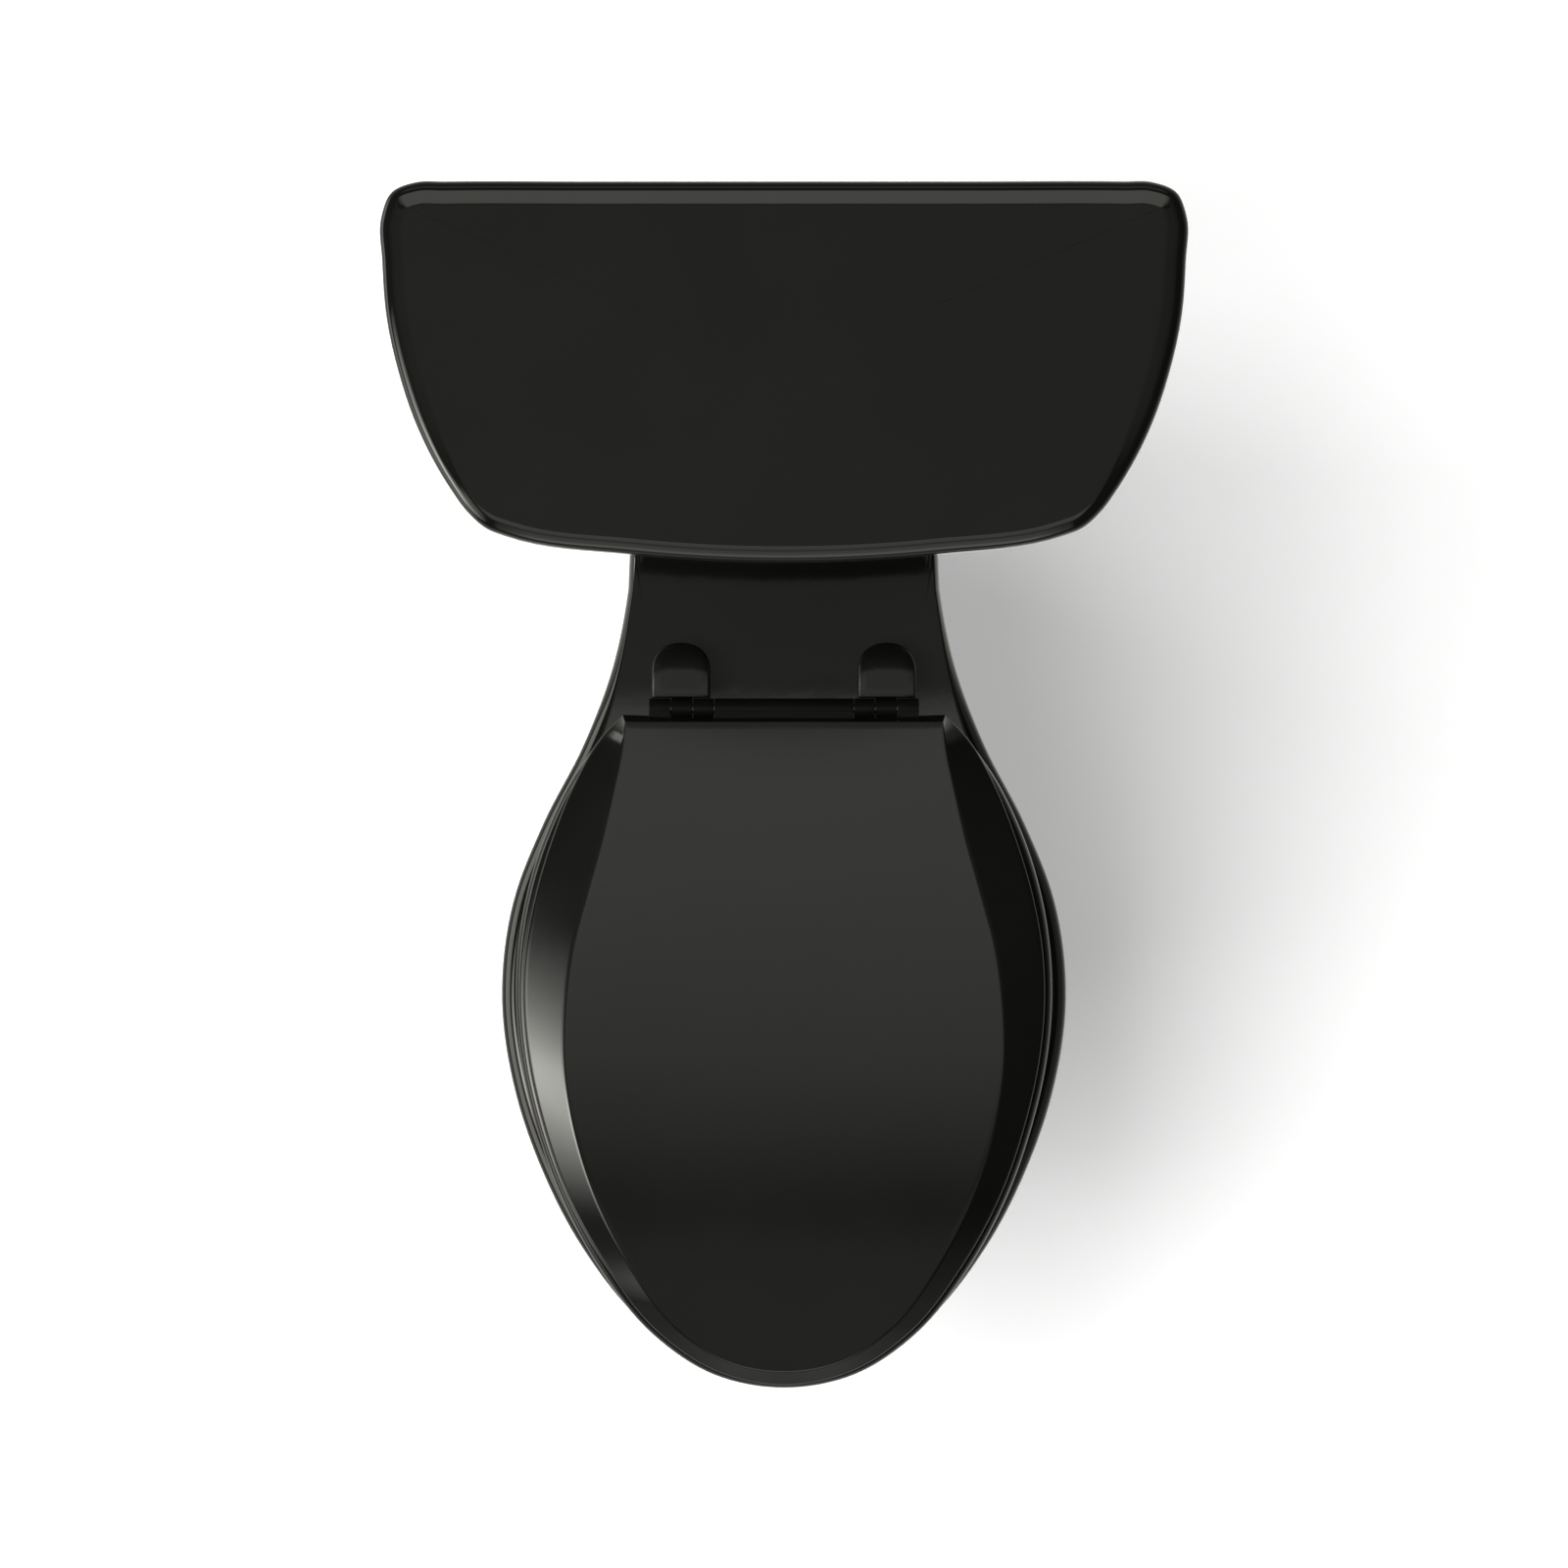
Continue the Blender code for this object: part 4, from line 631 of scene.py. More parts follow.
def make_tank():
    low, high = TANK_Z
    edge = [(0.0, 0.01), (0.0008, 0.0062), (0.003, 0.0026), (0.0058, 0.0008), (0.01, 0.0)]
    outer = [tank_loop(low + rise, extra) for rise, extra in edge]
    outer += [tank_loop(z) for z in np.linspace(0.475, high - 0.004, 22)]
    lip = [(-0.0018, 0.0006), (-0.0005, 0.0018), (0.0, 0.0034)]
    lip += [(0.0, TANK_WALL - 0.003), (-0.0006, TANK_WALL - 0.0012)]
    outer += [tank_loop(high + rise, extra) for rise, extra in lip]
    inner = [tank_loop(z, TANK_WALL) for z in np.linspace(high - 0.003, 0.48, 20)]
    floor = [(0.012, 0.0), (0.006, 0.001), (0.002, 0.004), (0.0, 0.009)]
    inner += [tank_loop(TANK_FLOOR_Z + rise, TANK_WALL + extra) for rise, extra in floor]
    tank = loft("tank_china", [*outer, *inner], "glazed_china")
    below, above = low - 0.02, TANK_FLOOR_Z + 0.02
    holes = [(0.0, VALVE_Y, 0.03), (*FILL_XY, 0.0135)]
    holes += [(sign * TANK_BOLT_X, VALVE_Y, 0.006) for sign in (1, -1)]
    cutters = [rod("hole", (x, y, below), (x, y, above), radius, "bisque") for x, y, radius in holes]
    outer_flat, inner_flat = LEVER_FLAT_X
    for start, end, radius in ((-0.27, -0.19, 0.006), (-0.27, outer_flat, 0.0125), (inner_flat, -0.19, 0.0125)):
        cutters.append(rod("flat", (start, LEVER_Y, LEVER_Z), (end, LEVER_Y, LEVER_Z), radius, "glazed_china"))
    combine(tank, cutters)
    settle(tank, "toilet", ["tank"])


def make_lid():
    low, high = LID_Z
    edge = lid_outline(8)
    middle = (0.0, BACK_Y - LID_DEPTH / 2)
    section = [
        (0.003, low), (0.0012, low + 0.0004), (0.0003, low + 0.0014), (0.0, low + 0.003), (0.0, high - 0.015),
        (0.0, high - 0.0115), (0.0003, high - 0.0087), (0.001, high - 0.0066), (0.002, high - 0.0053),
        (0.0035, high - 0.0042), (0.005, high - 0.00345), (0.0064, high - 0.003), (0.009, high - 0.00244),
        (0.0115, high - 0.0019), (0.0137, high - 0.00144), (0.0145, high - 0.00132),
    ]
    inward = inset(edge, 1.0) - edge
    narrow = 1 - 0.5 * smooth_step(-edge[:, 1], -0.255, -0.165)
    outside = [at_height(edge + inward * (distance * narrow)[:, None], z) for distance, z in section]
    shoulder = edge + inward * (0.0145 * narrow)[:, None]
    top = []
    for share in (0.97, 0.93, 0.88, 0.8, 0.7, 0.6, 0.45, 0.3, 0.15, 0.05):
        top.append(at_height(toward(shoulder, middle, share), high - 0.00125 * share**2))
    rim = inset(edge, 0.012)
    ceiling = [
        at_height(toward(rim, middle, share), low + rise)
        for share, rise in ((0.7, 0.024), (0.895, 0.024), (0.915, 0.0232), (0.925, 0.0205), (0.935, 0.001),
                            (0.94, 0.0))
    ]
    lid = loft("lid_china", [*ceiling, *outside, *top], "glazed_china")
    settle(lid, "tank_lid", ["tank_lid"])


# ---------------- the fittings in the tank
def make_flush_valve():
    floor, centre = TANK_FLOOR_Z, (0.0, VALVE_Y, 0.0)
    section = [
        (0.03, floor + 0.033), (0.0326, floor + 0.033), (0.033, floor + 0.031), (0.033, floor + 0.0085),
        (0.0345, floor + 0.0065), (0.037, floor + 0.006), (0.037, floor + 0.0036), (0.028, floor + 0.0036),
        (0.028, 0.424), (0.0235, 0.424), (0.0235, floor + 0.02), (0.027, floor + 0.03),
    ]
    valve = turned("valve_body", section, centre, "white_plastic", 96)
    overflow = (0.0, OVERFLOW_Y, 0.0)
    wall = [(0.0115, 0.672), (0.014, 0.672), (0.014, floor + 0.0112), (0.0115, floor + 0.0112)]
    pipe = turned("pipe", wall, overflow, "white_plastic")
    band = [(0.0128, floor + 0.034), (0.0145, floor + 0.034), (0.0145, floor + 0.0165), (0.0128, floor + 0.0165)]
    collar = turned("collar", rounded(band, 0.0008), overflow, "white_plastic")
    corners = (-0.015, OVERFLOW_Y - 0.016, floor + 0.005), (0.015, VALVE_Y - 0.029, floor + 0.022)
    boss = block("boss", *corners, "white_plastic", 0.0015)
    parts = [boss, pipe, collar]
    for _, sign in SIDES:
        ends = [(sign * x, OVERFLOW_Y, FLAPPER_AXIS_Z) for x in (0.0125, 0.02)]
        parts.append(rod("ear", *ends, 0.002, "white_plastic", 0.0004, 24))
    combine(valve, parts, "UNION")
    ways = [
        rod("way", (0.0, VALVE_Y, 0.4), (0.0, VALVE_Y, floor + 0.05), 0.0232, "white_plastic"),
        rod("down", (0.0, OVERFLOW_Y, floor + 0.0095), (0.0, OVERFLOW_Y, 0.6), 0.009, "white_plastic"),
    ]
    combine(valve, ways)
    settle(valve, "toilet", ["flush_valve"])


def make_flapper():
    top = TANK_FLOOR_Z + 0.033
    section = [
        (0.0, top + 0.014), (0.005, top + 0.0138), (0.011, top + 0.0122), (0.016, top + 0.0085),
        (0.02, top + 0.0055), (0.025, top + 0.0044), (0.0335, top + 0.004), (0.0345, top + 0.003),
        (0.0345, top + 0.001), (0.0338, top + 0.0003), (0.02, top + 0.0003), (0.0172, top - 0.001),
        (0.0155, top - 0.008), (0.0125, top - 0.013), (0.006, top - 0.0156), (0.0, top - 0.016),
    ]
    flapper = turned("flapper_disc", section, (0.0, VALVE_Y, 0.0), "red_rubber", 96)
    tab = (-0.005, 0.305, top + 0.0012), (0.005, CHAIN_Y + 0.005, top + 0.0038)
    parts = [block("tab", *tab, "red_rubber", 0.0008)]
    for _, sign in SIDES:
        inner, outer = sorted((sign * 0.0148, sign * 0.0188))
        low, high = (inner, OVERFLOW_Y - 0.005, top + 0.0008), (outer, VALVE_Y - 0.012, FLAPPER_AXIS_Z + 0.005)
        arm = block("arm", low, high, "red_rubber", 0.0009)
        ends = [(sign * x, OVERFLOW_Y, FLAPPER_AXIS_Z) for x in (0.01, 0.024)]
        parts.append(combine(arm, [rod("eye", *ends, 0.0025, "red_rubber")]))
    combine(flapper, parts, "UNION")
    settle(flapper, "flapper", ["flapper"])


def make_chain():
    bottom, top = TANK_FLOOR_Z + 0.033 + 0.0045, ARM_Z - 0.004
    pitch, bead, wire = 0.0036, 0.0014, 0.0004
    section = []
    count = int((top - bottom) / pitch)
    pitch = (top - bottom) / count
    for i in range(count):
        middle = top - (i + 0.5) * pitch
        for k in range(7):
            angle = math.pi * (k + 0.5) / 7
            section.append((max(bead * math.sin(angle), wire), middle + bead * math.cos(angle)))
    section = [(0.0, top), (wire, top), *section, (wire, bottom), (0.0, bottom)]
    chain = turned("bead_chain", section, (0.0, CHAIN_Y, 0.0), "steel", 16)
    settle(chain, "flapper_chain", ["flapper_chain"])


def make_fill_valve():
    floor, (x, y) = TANK_FLOOR_Z, FILL_XY
    ribs = []
    for i in range(9):
        z = 0.47 + 0.01 * i
        ribs = [(0.0125, z), (0.0119, z + 0.0015), (0.0119, z + 0.0035), (0.0125, z + 0.005), *ribs]
    section = [
        (0.0, 0.655), (0.0125, 0.655), *ribs, (0.013, floor + 0.0115), (0.015, floor + 0.011),
        (0.0215, floor + 0.01), (0.0215, floor + 0.0036), (0.0115, floor + 0.0036), (0.0115, 0.4005),
        (0.0108, 0.399), (0.006, 0.399), (0.006, 0.55), (0.0, 0.55),
    ]
    body = turned("fill_stem", section, (x, y, 0.0), "white_plastic")
    settle(body, "toilet", ["fill_valve_body"])
    head = [
        (0.0, 0.688), (0.018, 0.688), (0.023, 0.6872), (0.0258, 0.6845), (0.0266, 0.68), (0.0275, 0.664),
        (0.0275, 0.6555), (0.0, 0.6555),
    ]
    cap = turned("fill_head", head, (x, y, 0.0), "grey_plastic")
    extras = [rod("nipple", (x + 0.02, y, 0.672), (x + 0.038, y, 0.672), 0.003, "grey_plastic", 0.0004, 32)]
    for k in range(12):
        angle = 2 * math.pi * (k + 0.5) / 12
        spot = (x + 0.0268 * math.cos(angle), y + 0.0268 * math.sin(angle))
        extras.append(rod("grip", (*spot, 0.657), (*spot, 0.669), 0.0014, "grey_plastic", 0.0004, 16))
    combine(cap, extras, "UNION")
    settle(cap, "toilet", ["fill_valve_cap"])
    cup = [
        (0.0132, 0.625), (0.016, 0.628), (0.029, 0.628), (0.031, 0.625), (0.031, 0.576), (0.028, 0.572),
        (0.016, 0.572), (0.0132, 0.576),
    ]
    cup_piece = turned("float_shell", rounded(cup, 0.0015), (x, y, 0.0), "grey_plastic", 96)
    settle(cup_piece, "float_cup", ["float_cup"])


def make_refill():
    x, y = FILL_XY
    route = [
        (x + 0.0385, y, 0.672), (x + 0.05, y - 0.001, 0.673), (x + 0.066, y - 0.004, 0.682),
        (x + 0.088, y - 0.012, 0.691), (x + 0.11, y - 0.018, 0.692), (x + 0.127, y - 0.0205, 0.686),
        (0.0, OVERFLOW_Y, 0.67), (0.0, OVERFLOW_Y, 0.645),
    ]
    hose = tube("refill_line", open_curve(route, 8), 0.0035, "vinyl_tube")
    settle(hose, "toilet", ["refill_tube"])
    clip = [
        (0.0102, 0.6745), (0.0158, 0.6745), (0.0158, 0.66), (0.0144, 0.66), (0.0144, 0.6723), (0.0102, 0.6723),
    ]
    collar = turned("refill_collar", rounded(clip, 0.0005, 3), (0.0, OVERFLOW_Y, 0.0), "grey_plastic")
    settle(collar, "toilet", ["refill_clip"])


# ---------------- the flush lever
def make_lever():
    line = open_curve(
        [(-0.2366, 0.274), (-0.2357, 0.26), (-0.2312, 0.244), (-0.2238, 0.227), (-0.2146, 0.211),
         (-0.2072, 0.201)], 10,
    )
    loops = []
    for i, place in enumerate(line):
        along = i / (len(line) - 1)
        ahead = line[min(i + 1, len(line) - 1)] - line[max(i - 1, 0)]
        across = np.array([ahead[1], -ahead[0]]) / np.linalg.norm(ahead)
        tip = min(1.0, min(along, 1 - along) / 0.06)
        ease = math.sqrt(max(1 - (1 - tip) ** 2, 0.03))
        height, thick = (0.0078 - 0.0017 * along) * ease, 0.0026 * (0.45 + 0.55 * ease)
        loop = []
        for k in range(40):
            angle = 2 * math.pi * k / 40
            reach = across * thick * math.copysign(abs(math.cos(angle)) ** 0.7, math.cos(angle))
            rise = height * math.copysign(abs(math.sin(angle)) ** 0.7, math.sin(angle))
            loop.append((place[0] + reach[0], place[1] + reach[1], LEVER_Z + rise))
        loops.append(loop)
    paddle = loft("lever_paddle", loops, "lever_enamel")
    start = (-0.2362, LEVER_Y, LEVER_Z)
    boss = rod("boss", start, (LEVER_FLAT_X[0] - 0.0003, LEVER_Y, LEVER_Z), 0.0088, "lever_enamel", 0.0012)
    spindle = rod("spindle", start, (-0.2052, LEVER_Y, LEVER_Z), 0.0045, "lever_enamel", 0.0005)
    combine(paddle, [boss, spindle], "UNION")
    settle(paddle, "trip_lever", ["trip_lever"])
    route = [
        (-0.201, LEVER_Y, LEVER_Z + 0.003), (-0.196, LEVER_Y + 0.001, LEVER_Z + 0.01),
        (-0.186, LEVER_Y + 0.004, ARM_Z), (-0.09, LEVER_Y + 0.031, ARM_Z), (0.003, CHAIN_Y, ARM_Z),
    ]
    arm = tube("lever_rod", open_curve(route, 12), 0.0024, "brass")
    hub = rod("hub", (-0.2048, LEVER_Y, LEVER_Z), (-0.197, LEVER_Y, LEVER_Z), 0.0062, "brass", 0.0008)
    combine(arm, [hub], "UNION")
    settle(arm, "trip_lever", ["lever_arm"])


# ---------------- the seat and its cover
def knuckle(low_x, high_x, arm_low, arm_high):
    """A round barrel on the hinge axis and the arm that joins it to the moulding in front."""
    low_x, high_x = sorted((low_x, high_x))
    ends = [(x, HINGE_Y, HINGE_Z) for x in (low_x, high_x)]
    barrel = rod("barrel", *ends, KNUCKLE_R, "hinge_plastic", 0.0004, 64)
    arm = block("arm", (low_x + 0.0001, *arm_low), (high_x - 0.0001, *arm_high), "hinge_plastic")
    return [barrel, arm]


def pin_bores():
    ends = [[(sign * x, HINGE_Y, HINGE_Z) for x in (0.0375, 0.095)] for _, sign in SIDES]
    return [rod("bore", *pair, PIN_R, "seat_plastic") for pair in ends]


def make_seat():
    low, high = SEAT_Z
    outer, opening = closed_outline(SEAT_HALF, 8), closed_outline(egg_half(*SEAT_OPENING), 8)
    section = [
        (0.0, 0.003, low), (0.0, 0.0009, low + 0.0005), (0.0, 0.0, low + 0.0025), (0.0, 0.0, high - 0.008),
        (0.0, 0.0006, high - 0.0048), (0.0, 0.0022, high - 0.0022), (0.0, 0.0046, high - 0.0007),
        (0.0, 0.008, high), (0.12, 0.0078, high), (0.35, 0.004, high), (0.55, 0.0, high - 0.0001),
        (0.7, 0.0, high - 0.001), (0.82, 0.0, high - 0.0024), (0.92, 0.0, high - 0.0044),
        (0.975, 0.0, high - 0.0066), (1.0, 0.0, high - 0.01), (1.0, 0.0, low + 0.003),
        (0.985, 0.0, low + 0.0008), (0.955, 0.0, low), (0.5, 0.0, low),
    ]
    loops = [at_height(inset(outer, d) * (1 - share) + opening * share, z) for share, d, z in section]
    seat = loft("seat_moulding", loops, "seat_plastic", ring=True)
    parts = []
    for _, sign in SIDES:
        parts += knuckle(*[sign * x for x in SEAT_KNUCKLE_X], (0.035, 0.433), (HINGE_Y, 0.4403))
    combine(seat, parts, "UNION")
    combine(seat, pin_bores())
    settle(seat, "seat", ["seat_ring"])


def make_cover():
    foot, edge, top = COVER_Z
    skirt = closed_outline(SKIRT_HALF, 8, COVER_CORNER)
    panel = closed_outline(PANEL_HALF, 8, COVER_CORNER)
    middle, crown = (0.0, -0.15), 0.0012

    def slope(share, sink=0.0):
        """A loop part of the way up the sloping band from the skirt to the panel."""
        z = edge + 0.0003 + (top - edge - 0.0003) * share
        return at_height(inset(skirt, 0.0008) * (1 - share) + panel * share, z - sink)

    def crowned(points):
        """The panel swells by the crown at its middle and smoothly less towards its border."""
        flank = panel[(panel[:, 0] > 0) & (panel[:, 1] < panel[:, 1].max() - 0.0005)]
        flank = flank[np.argsort(flank[:, 1])]
        ends = np.where(points[:, 1] < middle[1], panel[:, 1].min(), panel[:, 1].max())
        along = (points[:, 1] - middle[1]) / (ends - middle[1])
        across = np.abs(points[:, 0]) / np.interp(points[:, 1], flank[:, 1], flank[:, 0])
        return at_height(points, top + crown * np.clip((1 - along**2) * (1 - across**2), 0, 1))

    outside = [
        at_height(inset(skirt, 0.0014), foot), at_height(inset(skirt, 0.0004), foot + 0.0003),
        at_height(skirt, foot + 0.001), at_height(skirt, edge - 0.0012),
        at_height(inset(skirt, 0.0002), edge - 0.0004), at_height(inset(skirt, 0.0008), edge + 0.0003),
    ]
    outside += [slope(share) for share in (0.08, 0.3, 0.5, 0.7, 0.9, 0.975)]
    outside += [slope(1.0, 0.00012)]
    outside += [crowned(toward(panel, middle, share)) for share in (0.993, 0.975, *PANEL_SHARES)]
    room, lip = shrink(panel, COVER_WALL + 0.0015), shrink(skirt, COVER_WALL)
    shares = reversed((0.985, *PANEL_SHARES))
    inside = [at_height(toward(room, middle, share), top - COVER_WALL) for share in shares]
    inside += [
        at_height(room, top - COVER_WALL - 0.0003), at_height(lip, edge - 0.0012), at_height(lip, foot),
    ]
    cover = loft("cover_moulding", [*inside, *outside], "seat_plastic")
    low, high = (0.048, 0.438), (HINGE_Y, 0.4462)
    parts = knuckle(-COVER_BAR_X, COVER_BAR_X, low, high)
    for _, sign in SIDES:
        parts += knuckle(*[sign * x for x in COVER_KNUCKLE_X], low, high)
    combine(cover, parts, "UNION")
    combine(cover, pin_bores())
    settle(cover, "cover", ["seat_cover"])


def make_bumpers():
    for side, sign in SIDES:
        for place, x, y, turn in (("rear", 0.148, -0.07, 8), ("front", 0.117, -0.27, -25)):
            angle = math.radians(-sign * turn)
            spin = np.array([[math.cos(angle), -math.sin(angle)], [math.sin(angle), math.cos(angle)]])
            pill = []
            for k in range(48):
                t = 2 * math.pi * k / 48
                pill.append((0.006 * math.copysign(abs(math.cos(t)) ** 0.5, math.cos(t)),
                             0.018 * math.copysign(abs(math.sin(t)) ** 0.35, math.sin(t))))
            pill = np.array(pill)[::-1]
            levels = [(0.9, 0.4193), (0.98, 0.4197), (1.0, 0.4205), (1.0, 0.4232)]
            loops = [at_height((pill * s) @ spin.T + (sign * x, y), z) for s, z in levels]
            bumper = loft(f"seat_pad_{place}_{side}", loops, "black_rubber")
            settle(bumper, "seat", [f"seat_bumper_{place}_{side}"])
        low, high = SEAT_Z[1] + 0.0003, COVER_Z[2] - COVER_WALL - 0.003
        knob = [(0.0, high - low), (0.0055, high - low), (0.0055, 0.0016), (0.0042, 0.0), (0.0, 0.0)]
        stud = turned(f"cover_pad_{side}", rounded(knob, 0.0008), (sign * 0.118, -0.235, low), "black_rubber")
        settle(stud, "cover", [f"cover_bumper_{side}"])


# ---------------- the hinges
def post_outline(middle_x, margin, steps=6):
    """A hinge post's plan: square at the front, round at the back."""
    front, back = POST_Y[0] + margin, POST_Y[1] - margin
    half_width = (POST_X[1] - POST_X[0]) / 2 - margin
    radius = half_width * 0.72
    half = [
        (0.0, back), (half_width * 0.42, back - radius * 0.1), (half_width * 0.78, back - radius * 0.42),
        (half_width * 0.97, back - radius * 0.95), (half_width, back - radius * 1.5), (half_width, front),
        (half_width * 0.5, front), (0.0, front),
    ]
    right = smooth_points([(-half[1][0], half[1][1]), *half[:5], half[5]], steps)
    right += [np.array(p) for p in half[5:]]
    outline = np.array(right + [p * np.array([-1.0, 1.0]) for p in reversed(right[1:-1])])
    outline[:, 0] += middle_x
    return outline


def cap_height(loop, middle_x, top):
    """Level in front, falling away behind an arched crease."""
    across = np.clip(np.abs(loop[:, 0] - middle_x) * 2 / (POST_X[1] - POST_X[0]), 0.0, 1.0)
    crease = 0.0868 - 0.0055 * across**2
    fall = np.clip((loop[:, 1] - crease) / (POST_Y[1] - crease), 0.0, 1.0)
    return top - 0.0085 * fall**1.35


def fin_loops(low_x, high_x, foot_z, lug_z):
    """The barrel of a post with the web and lug under it, as loops across the hinge axis."""
    radius, start, end = 0.0062, math.radians(223.4), math.radians(-33)
    arc = [start + (end - start) * k / 40 for k in range(41)]
    side = [(0.0543, foot_z), *[(HINGE_Y + radius * math.cos(a), HINGE_Z + radius * math.sin(a)) for a in arc]]
    side = np.array([*side, (0.064, lug_z), (0.0707, lug_z), (0.0707, foot_z)])
    loops = []
    for x, margin in ((low_x, 0.0003), (low_x + 0.0003, 0.0), (high_x - 0.0003, 0.0), (high_x, 0.0003)):
        rim = inset(side, margin)
        loops.append(np.column_stack([np.full(len(rim), x), rim]))
    return loops


def make_hinge(side, sign):
    middle = sign * (POST_X[0] + POST_X[1]) / 2
    deck, base_top = RIM_Z + 0.0003, 0.4286
    levels = [(0.0006, deck), (0.0, deck + 0.0008), (0.0, base_top - 0.0006), (0.0005, base_top)]
    post = loft(f"hinge_base_{side}", [at_height(post_outline(middle, m), z) for m, z in levels], "hinge_plastic")
    low_x, high_x = sorted(sign * x for x in POST_KNUCKLE_X)
    fin = loft("fin", fin_loops(low_x, high_x, deck + 0.0005, base_top - 0.001), "hinge_plastic")
    combine(post, [fin], "UNION")
    x, y = sign * SEAT_BOLT_X, SEAT_BOLT_Y
    ways = [rod("hole", (x, y, 0.41), (x, y, 0.44), 0.0058, "hinge_plastic"),
            rod("counterbore", (x, y, 0.4235), (x, y, 0.44), 0.0105, "hinge_plastic"), *pin_bores()]
    combine(post, ways)
    settle(post, "toilet", [f"hinge_post_{side}"])

    low, top = 0.429, 0.4435
    plan, inner, deep = post_outline(middle, 0.0), post_outline(middle, 0.0025), post_outline(middle, 0.014)
    under = np.maximum(cap_height(inner, middle, top) - 0.003, low + 0.001)
    roof = np.maximum(cap_height(deep, middle, top) - 0.0028, low + 0.0012)
    loops = [at_height(deep, roof), at_height(inner, under), at_height(inner, low), at_height(plan, low)]
    for margin, drop in ((0.0, 0.0017), (0.0003, 0.0009), (0.0009, 0.0003), (0.0018, 0.0), (0.006, 0.0),
                         (0.011, 0.0001), (0.016, 0.0001)):
        loop = post_outline(middle, margin)
        loops.append(at_height(loop, cap_height(loop, middle, top) - drop))
    cap = loft(f"hinge_shell_{side}", loops, "cap_plastic")
    settle(cap, f"hinge_cap_{side}", [f"hinge_cap_{side}"])


def dress_cad_nodes():
    """The CAD nodes that stay in view take the look of their material slot."""
    slots = {part["node"]: part["material_slot"] for part in frame["record"]["subparts"]}
    for name, node in frame["nodes"].items():
        node.data.materials.clear()
        node.data.materials.append(LOOKS[slots[name]])
        shade(node)


# ---------------- the studio
FLOOR_GLOW = 0.35
# Brightness from straight down (0) past the horizon (0.5) to straight up (1).
WORLD_STOPS = [
    (0.0, 0.65), (0.275, 0.6), (0.425, 0.22), (0.5, 0.24), (0.55, 0.2), (0.65, 0.035), (0.9, 0.04),
    (0.965, 0.25), (1.0, 0.29),
]
# Ways for a card's glow to fade from one side (0) to the other (1).
SOFT = [(0.0, 0.0), (0.25, 0.45), (0.5, 1.0), (0.75, 0.45), (1.0, 0.0)]
BROAD = [(0.0, 0.0), (0.2, 1.0), (0.8, 1.0), (1.0, 0.0)]
FADING = [(0.0, 0.0), (0.05, 1.0), (0.4, 0.76), (0.62, 0.66), (0.8, 0.42), (1.0, 0.0)]
# name, place, target, size, watts
LIGHTS = [
    ("key", (-1.71, 0.0, 4.7), (0.0, 0.0, 0.2), (3.5, 2.9), 308),
    ("low_key", (-3.5, 0.0, 1.6), (0.0, 0.0, 0.1), (3.0, 2.0), 110),
    ("back", (0.0, 4.0, 3.0), (0.0, 0.2, 0.5), (3.0, 0.8), 12),
]
# name, place, target, size, glow, fading across and along
CARDS = [
    ("left_card", (-1.72, -0.58, 1.7), (-0.157, -0.18, 0.45), (1.6, 1.5), 13.5, SOFT, SOFT),
    ("top_card", (0.0, -0.125, 1.45), (0.0, -0.125, 0.0), (1.2, 0.42), 1.0, BROAD, FADING),
    ("back_card", (0.0, 1.4, 3.0), (0.0, 0.35, 0.77), (2.8, 1.1), 1.3, BROAD, BROAD),
    ("front_card", (0.0, -2.45, 2.27), (0.0, 0.15, 0.77), (2.6, 3.0), 2.2, BROAD, SOFT),
    ("wall_card", (-2.4, -0.1, 0.5), (0.0, -0.1, 0.5), (4.2, 1.0), 2.7, BROAD, BROAD),
    ("far_card", (0.0, 5.0, 3.6), (0.0, 0.0, 0.5), (6.0, 2.6), 0.5, BROAD, SOFT),
]
CAMERA_PLACE, CAMERA_LENS, CAMERA_SENSOR = (0.0, 0.00905, 8.0), 264, 36
NOT_LIT_BY = ("diffuse", "transmission", "volume_scatter", "shadow")


def staged(name, bm, material, unseen_by):
    """A part of the studio that these kinds of ray pass by."""
    obj = new_object(name, bm, material)
    for ray in unseen_by:
        setattr(obj, f"visible_{ray}", False)
    return obj


def face_from(obj, place, target):
    """Put obj in its place with its front, -Z, towards the target."""
    obj.location = place
    obj.rotation_euler = (Vector(place) - Vector(target)).to_track_quat("Z", "Y").to_euler()


def paper(name, grey, glow):
    material, tree = new_material(name)
    wire(tree, tree.nodes["Principled BSDF"], {
        "Base Color": (grey, grey, grey, 1), "Roughness": 0.9, "Specular IOR Level": 0.0,
        "Emission Color": (1, 1, 1, 1), "Emission Strength": glow,
    })
    return material


def make_floor():
    bm = bmesh.new()
    bmesh.ops.create_circle(bm, cap_ends=True, radius=30, segments=96)
    staged("floor", bm, paper("floor_paper", 0.8, FLOOR_GLOW), ["glossy"])


def make_backdrop():
    """A white dome that only the camera sees."""
    bm = bmesh.new()
    bmesh.ops.create_uvsphere(bm, u_segments=48, v_segments=24, radius=31)
    bmesh.ops.reverse_faces(bm, faces=bm.faces)
    staged("backdrop", bm, paper("backdrop_paper", 0.0, 1.0), ["glossy", *NOT_LIT_BY])


def grey_ramp(tree, value, stops):
    """A grey with a trace of warmth that follows value through (position, brightness) stops."""
    return ramp(tree, value, [(position, (grey, grey, 0.93 * grey, 1)) for position, grey in stops])


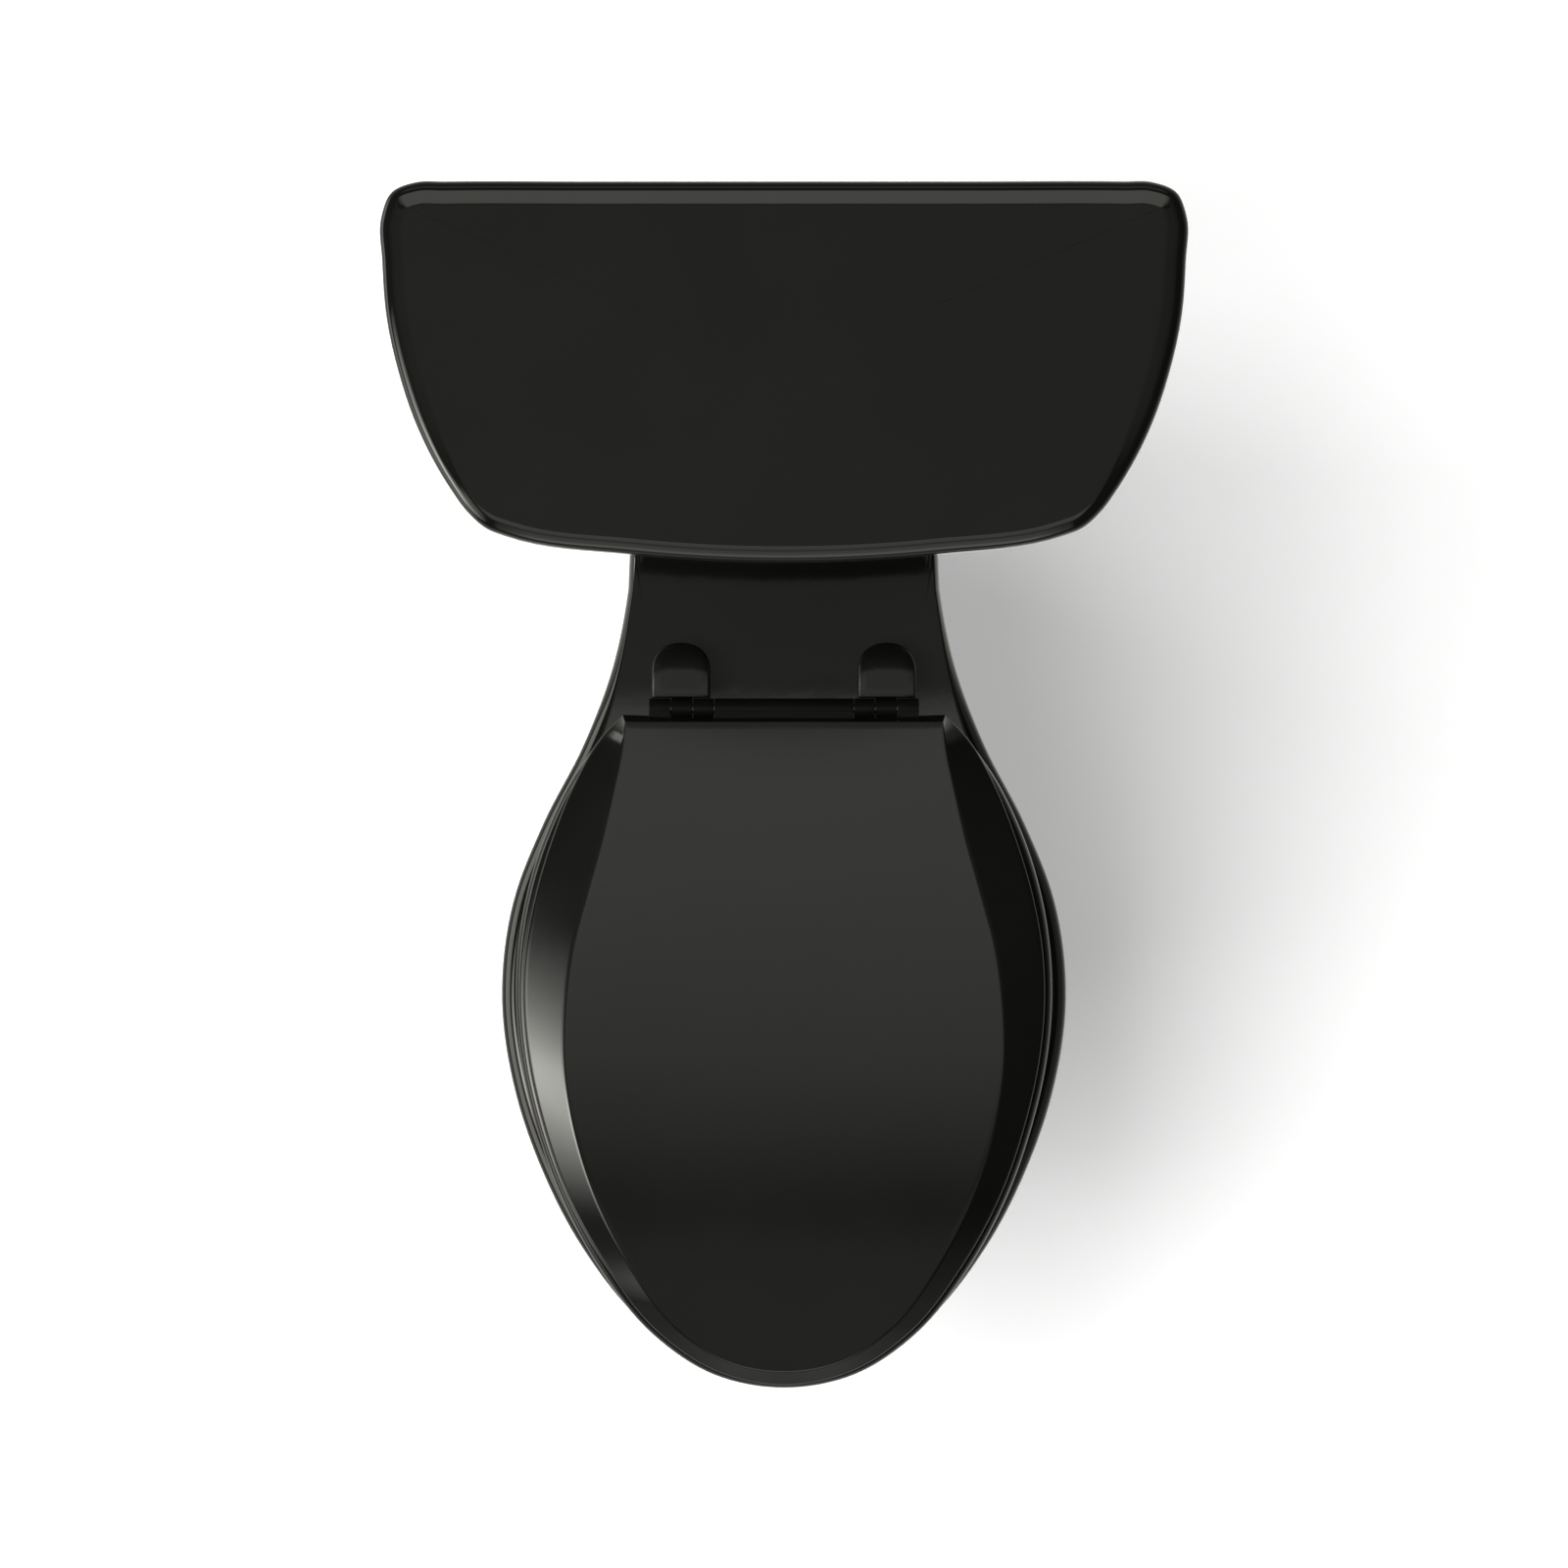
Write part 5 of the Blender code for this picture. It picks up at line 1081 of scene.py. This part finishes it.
def make_world():
    """A dim room for the gloss to show: soft overhead, dark above the horizon, paler along it and below."""
    world = bpy.data.worlds.new("studio")
    bpy.context.scene.world = world
    world.use_nodes = True
    tree = world.node_tree
    split = node(tree, "SeparateXYZ", {"Vector": node(tree, "TexCoord", {}, "Generated")}, "Z")
    rise = node(tree, "MapRange", {"Value": split, "From Min": -1.0}, "Result")
    wire(tree, tree.nodes["Background"], {"Color": grey_ramp(tree, rise, WORLD_STOPS), "Strength": 1.0})


def make_card(name, place, target, size, glow, across, along):
    """A glowing panel that only the gloss shows."""
    bm = bmesh.new()
    bmesh.ops.create_grid(bm, x_segments=1, y_segments=1, size=0.5)
    bmesh.ops.scale(bm, vec=(*size, 1.0), verts=bm.verts)
    material, tree = new_material(name)
    spot = node(tree, "TexCoord", {}, "Generated")
    fades = [
        grey_ramp(tree, node(tree, "SeparateXYZ", {"Vector": spot}, axis), stops)
        for axis, stops in (("X", across), ("Y", along))
    ]
    both = node(tree, "Math", dict(enumerate(fades)), "Value", operation="MULTIPLY")
    strength = node(tree, "Math", {0: both, 1: glow}, "Value", operation="MULTIPLY")
    light = node(tree, "Emission", {"Color": (1.0, 1.0, 0.93, 1), "Strength": strength}, "Emission")
    wire(tree, tree.nodes["Material Output"], {"Surface": light})
    face_from(staged(name, bm, material, ["camera", *NOT_LIT_BY]), place, target)


def make_light(name, place, target, size, power):
    """A soft panel that lights the floor and stays out of the gloss."""
    light = bpy.data.lights.new(name, "AREA")
    light.shape = "RECTANGLE"
    light.size, light.size_y = size
    light.energy = power
    obj = bpy.data.objects.new(name, light)
    bpy.context.scene.collection.objects.link(obj)
    obj.visible_camera = obj.visible_glossy = False
    face_from(obj, place, target)


def make_camera():
    """Straight down from far above."""
    data = bpy.data.cameras.new("camera")
    data.sensor_width, data.lens, data.clip_end = CAMERA_SENSOR, CAMERA_LENS, 100
    camera = bpy.data.objects.new("camera", data)
    camera.location = CAMERA_PLACE
    bpy.context.scene.collection.objects.link(camera)
    bpy.context.scene.camera = camera
    bpy.context.scene.view_settings.view_transform = "Standard"


def make_studio():
    make_floor()
    make_backdrop()
    make_world()
    for row in LIGHTS:
        make_light(*row)
    for row in CARDS:
        make_card(*row)
    make_camera()


make_bowl()
make_floor_caps()
make_trapway()
make_tank()
make_lid()
make_flush_valve()
make_flapper()
make_chain()
make_fill_valve()
make_refill()
make_lever()
make_seat()
make_cover()
make_bumpers()
for side_name, side_sign in SIDES:
    make_hinge(side_name, side_sign)
dress_cad_nodes()
make_studio()
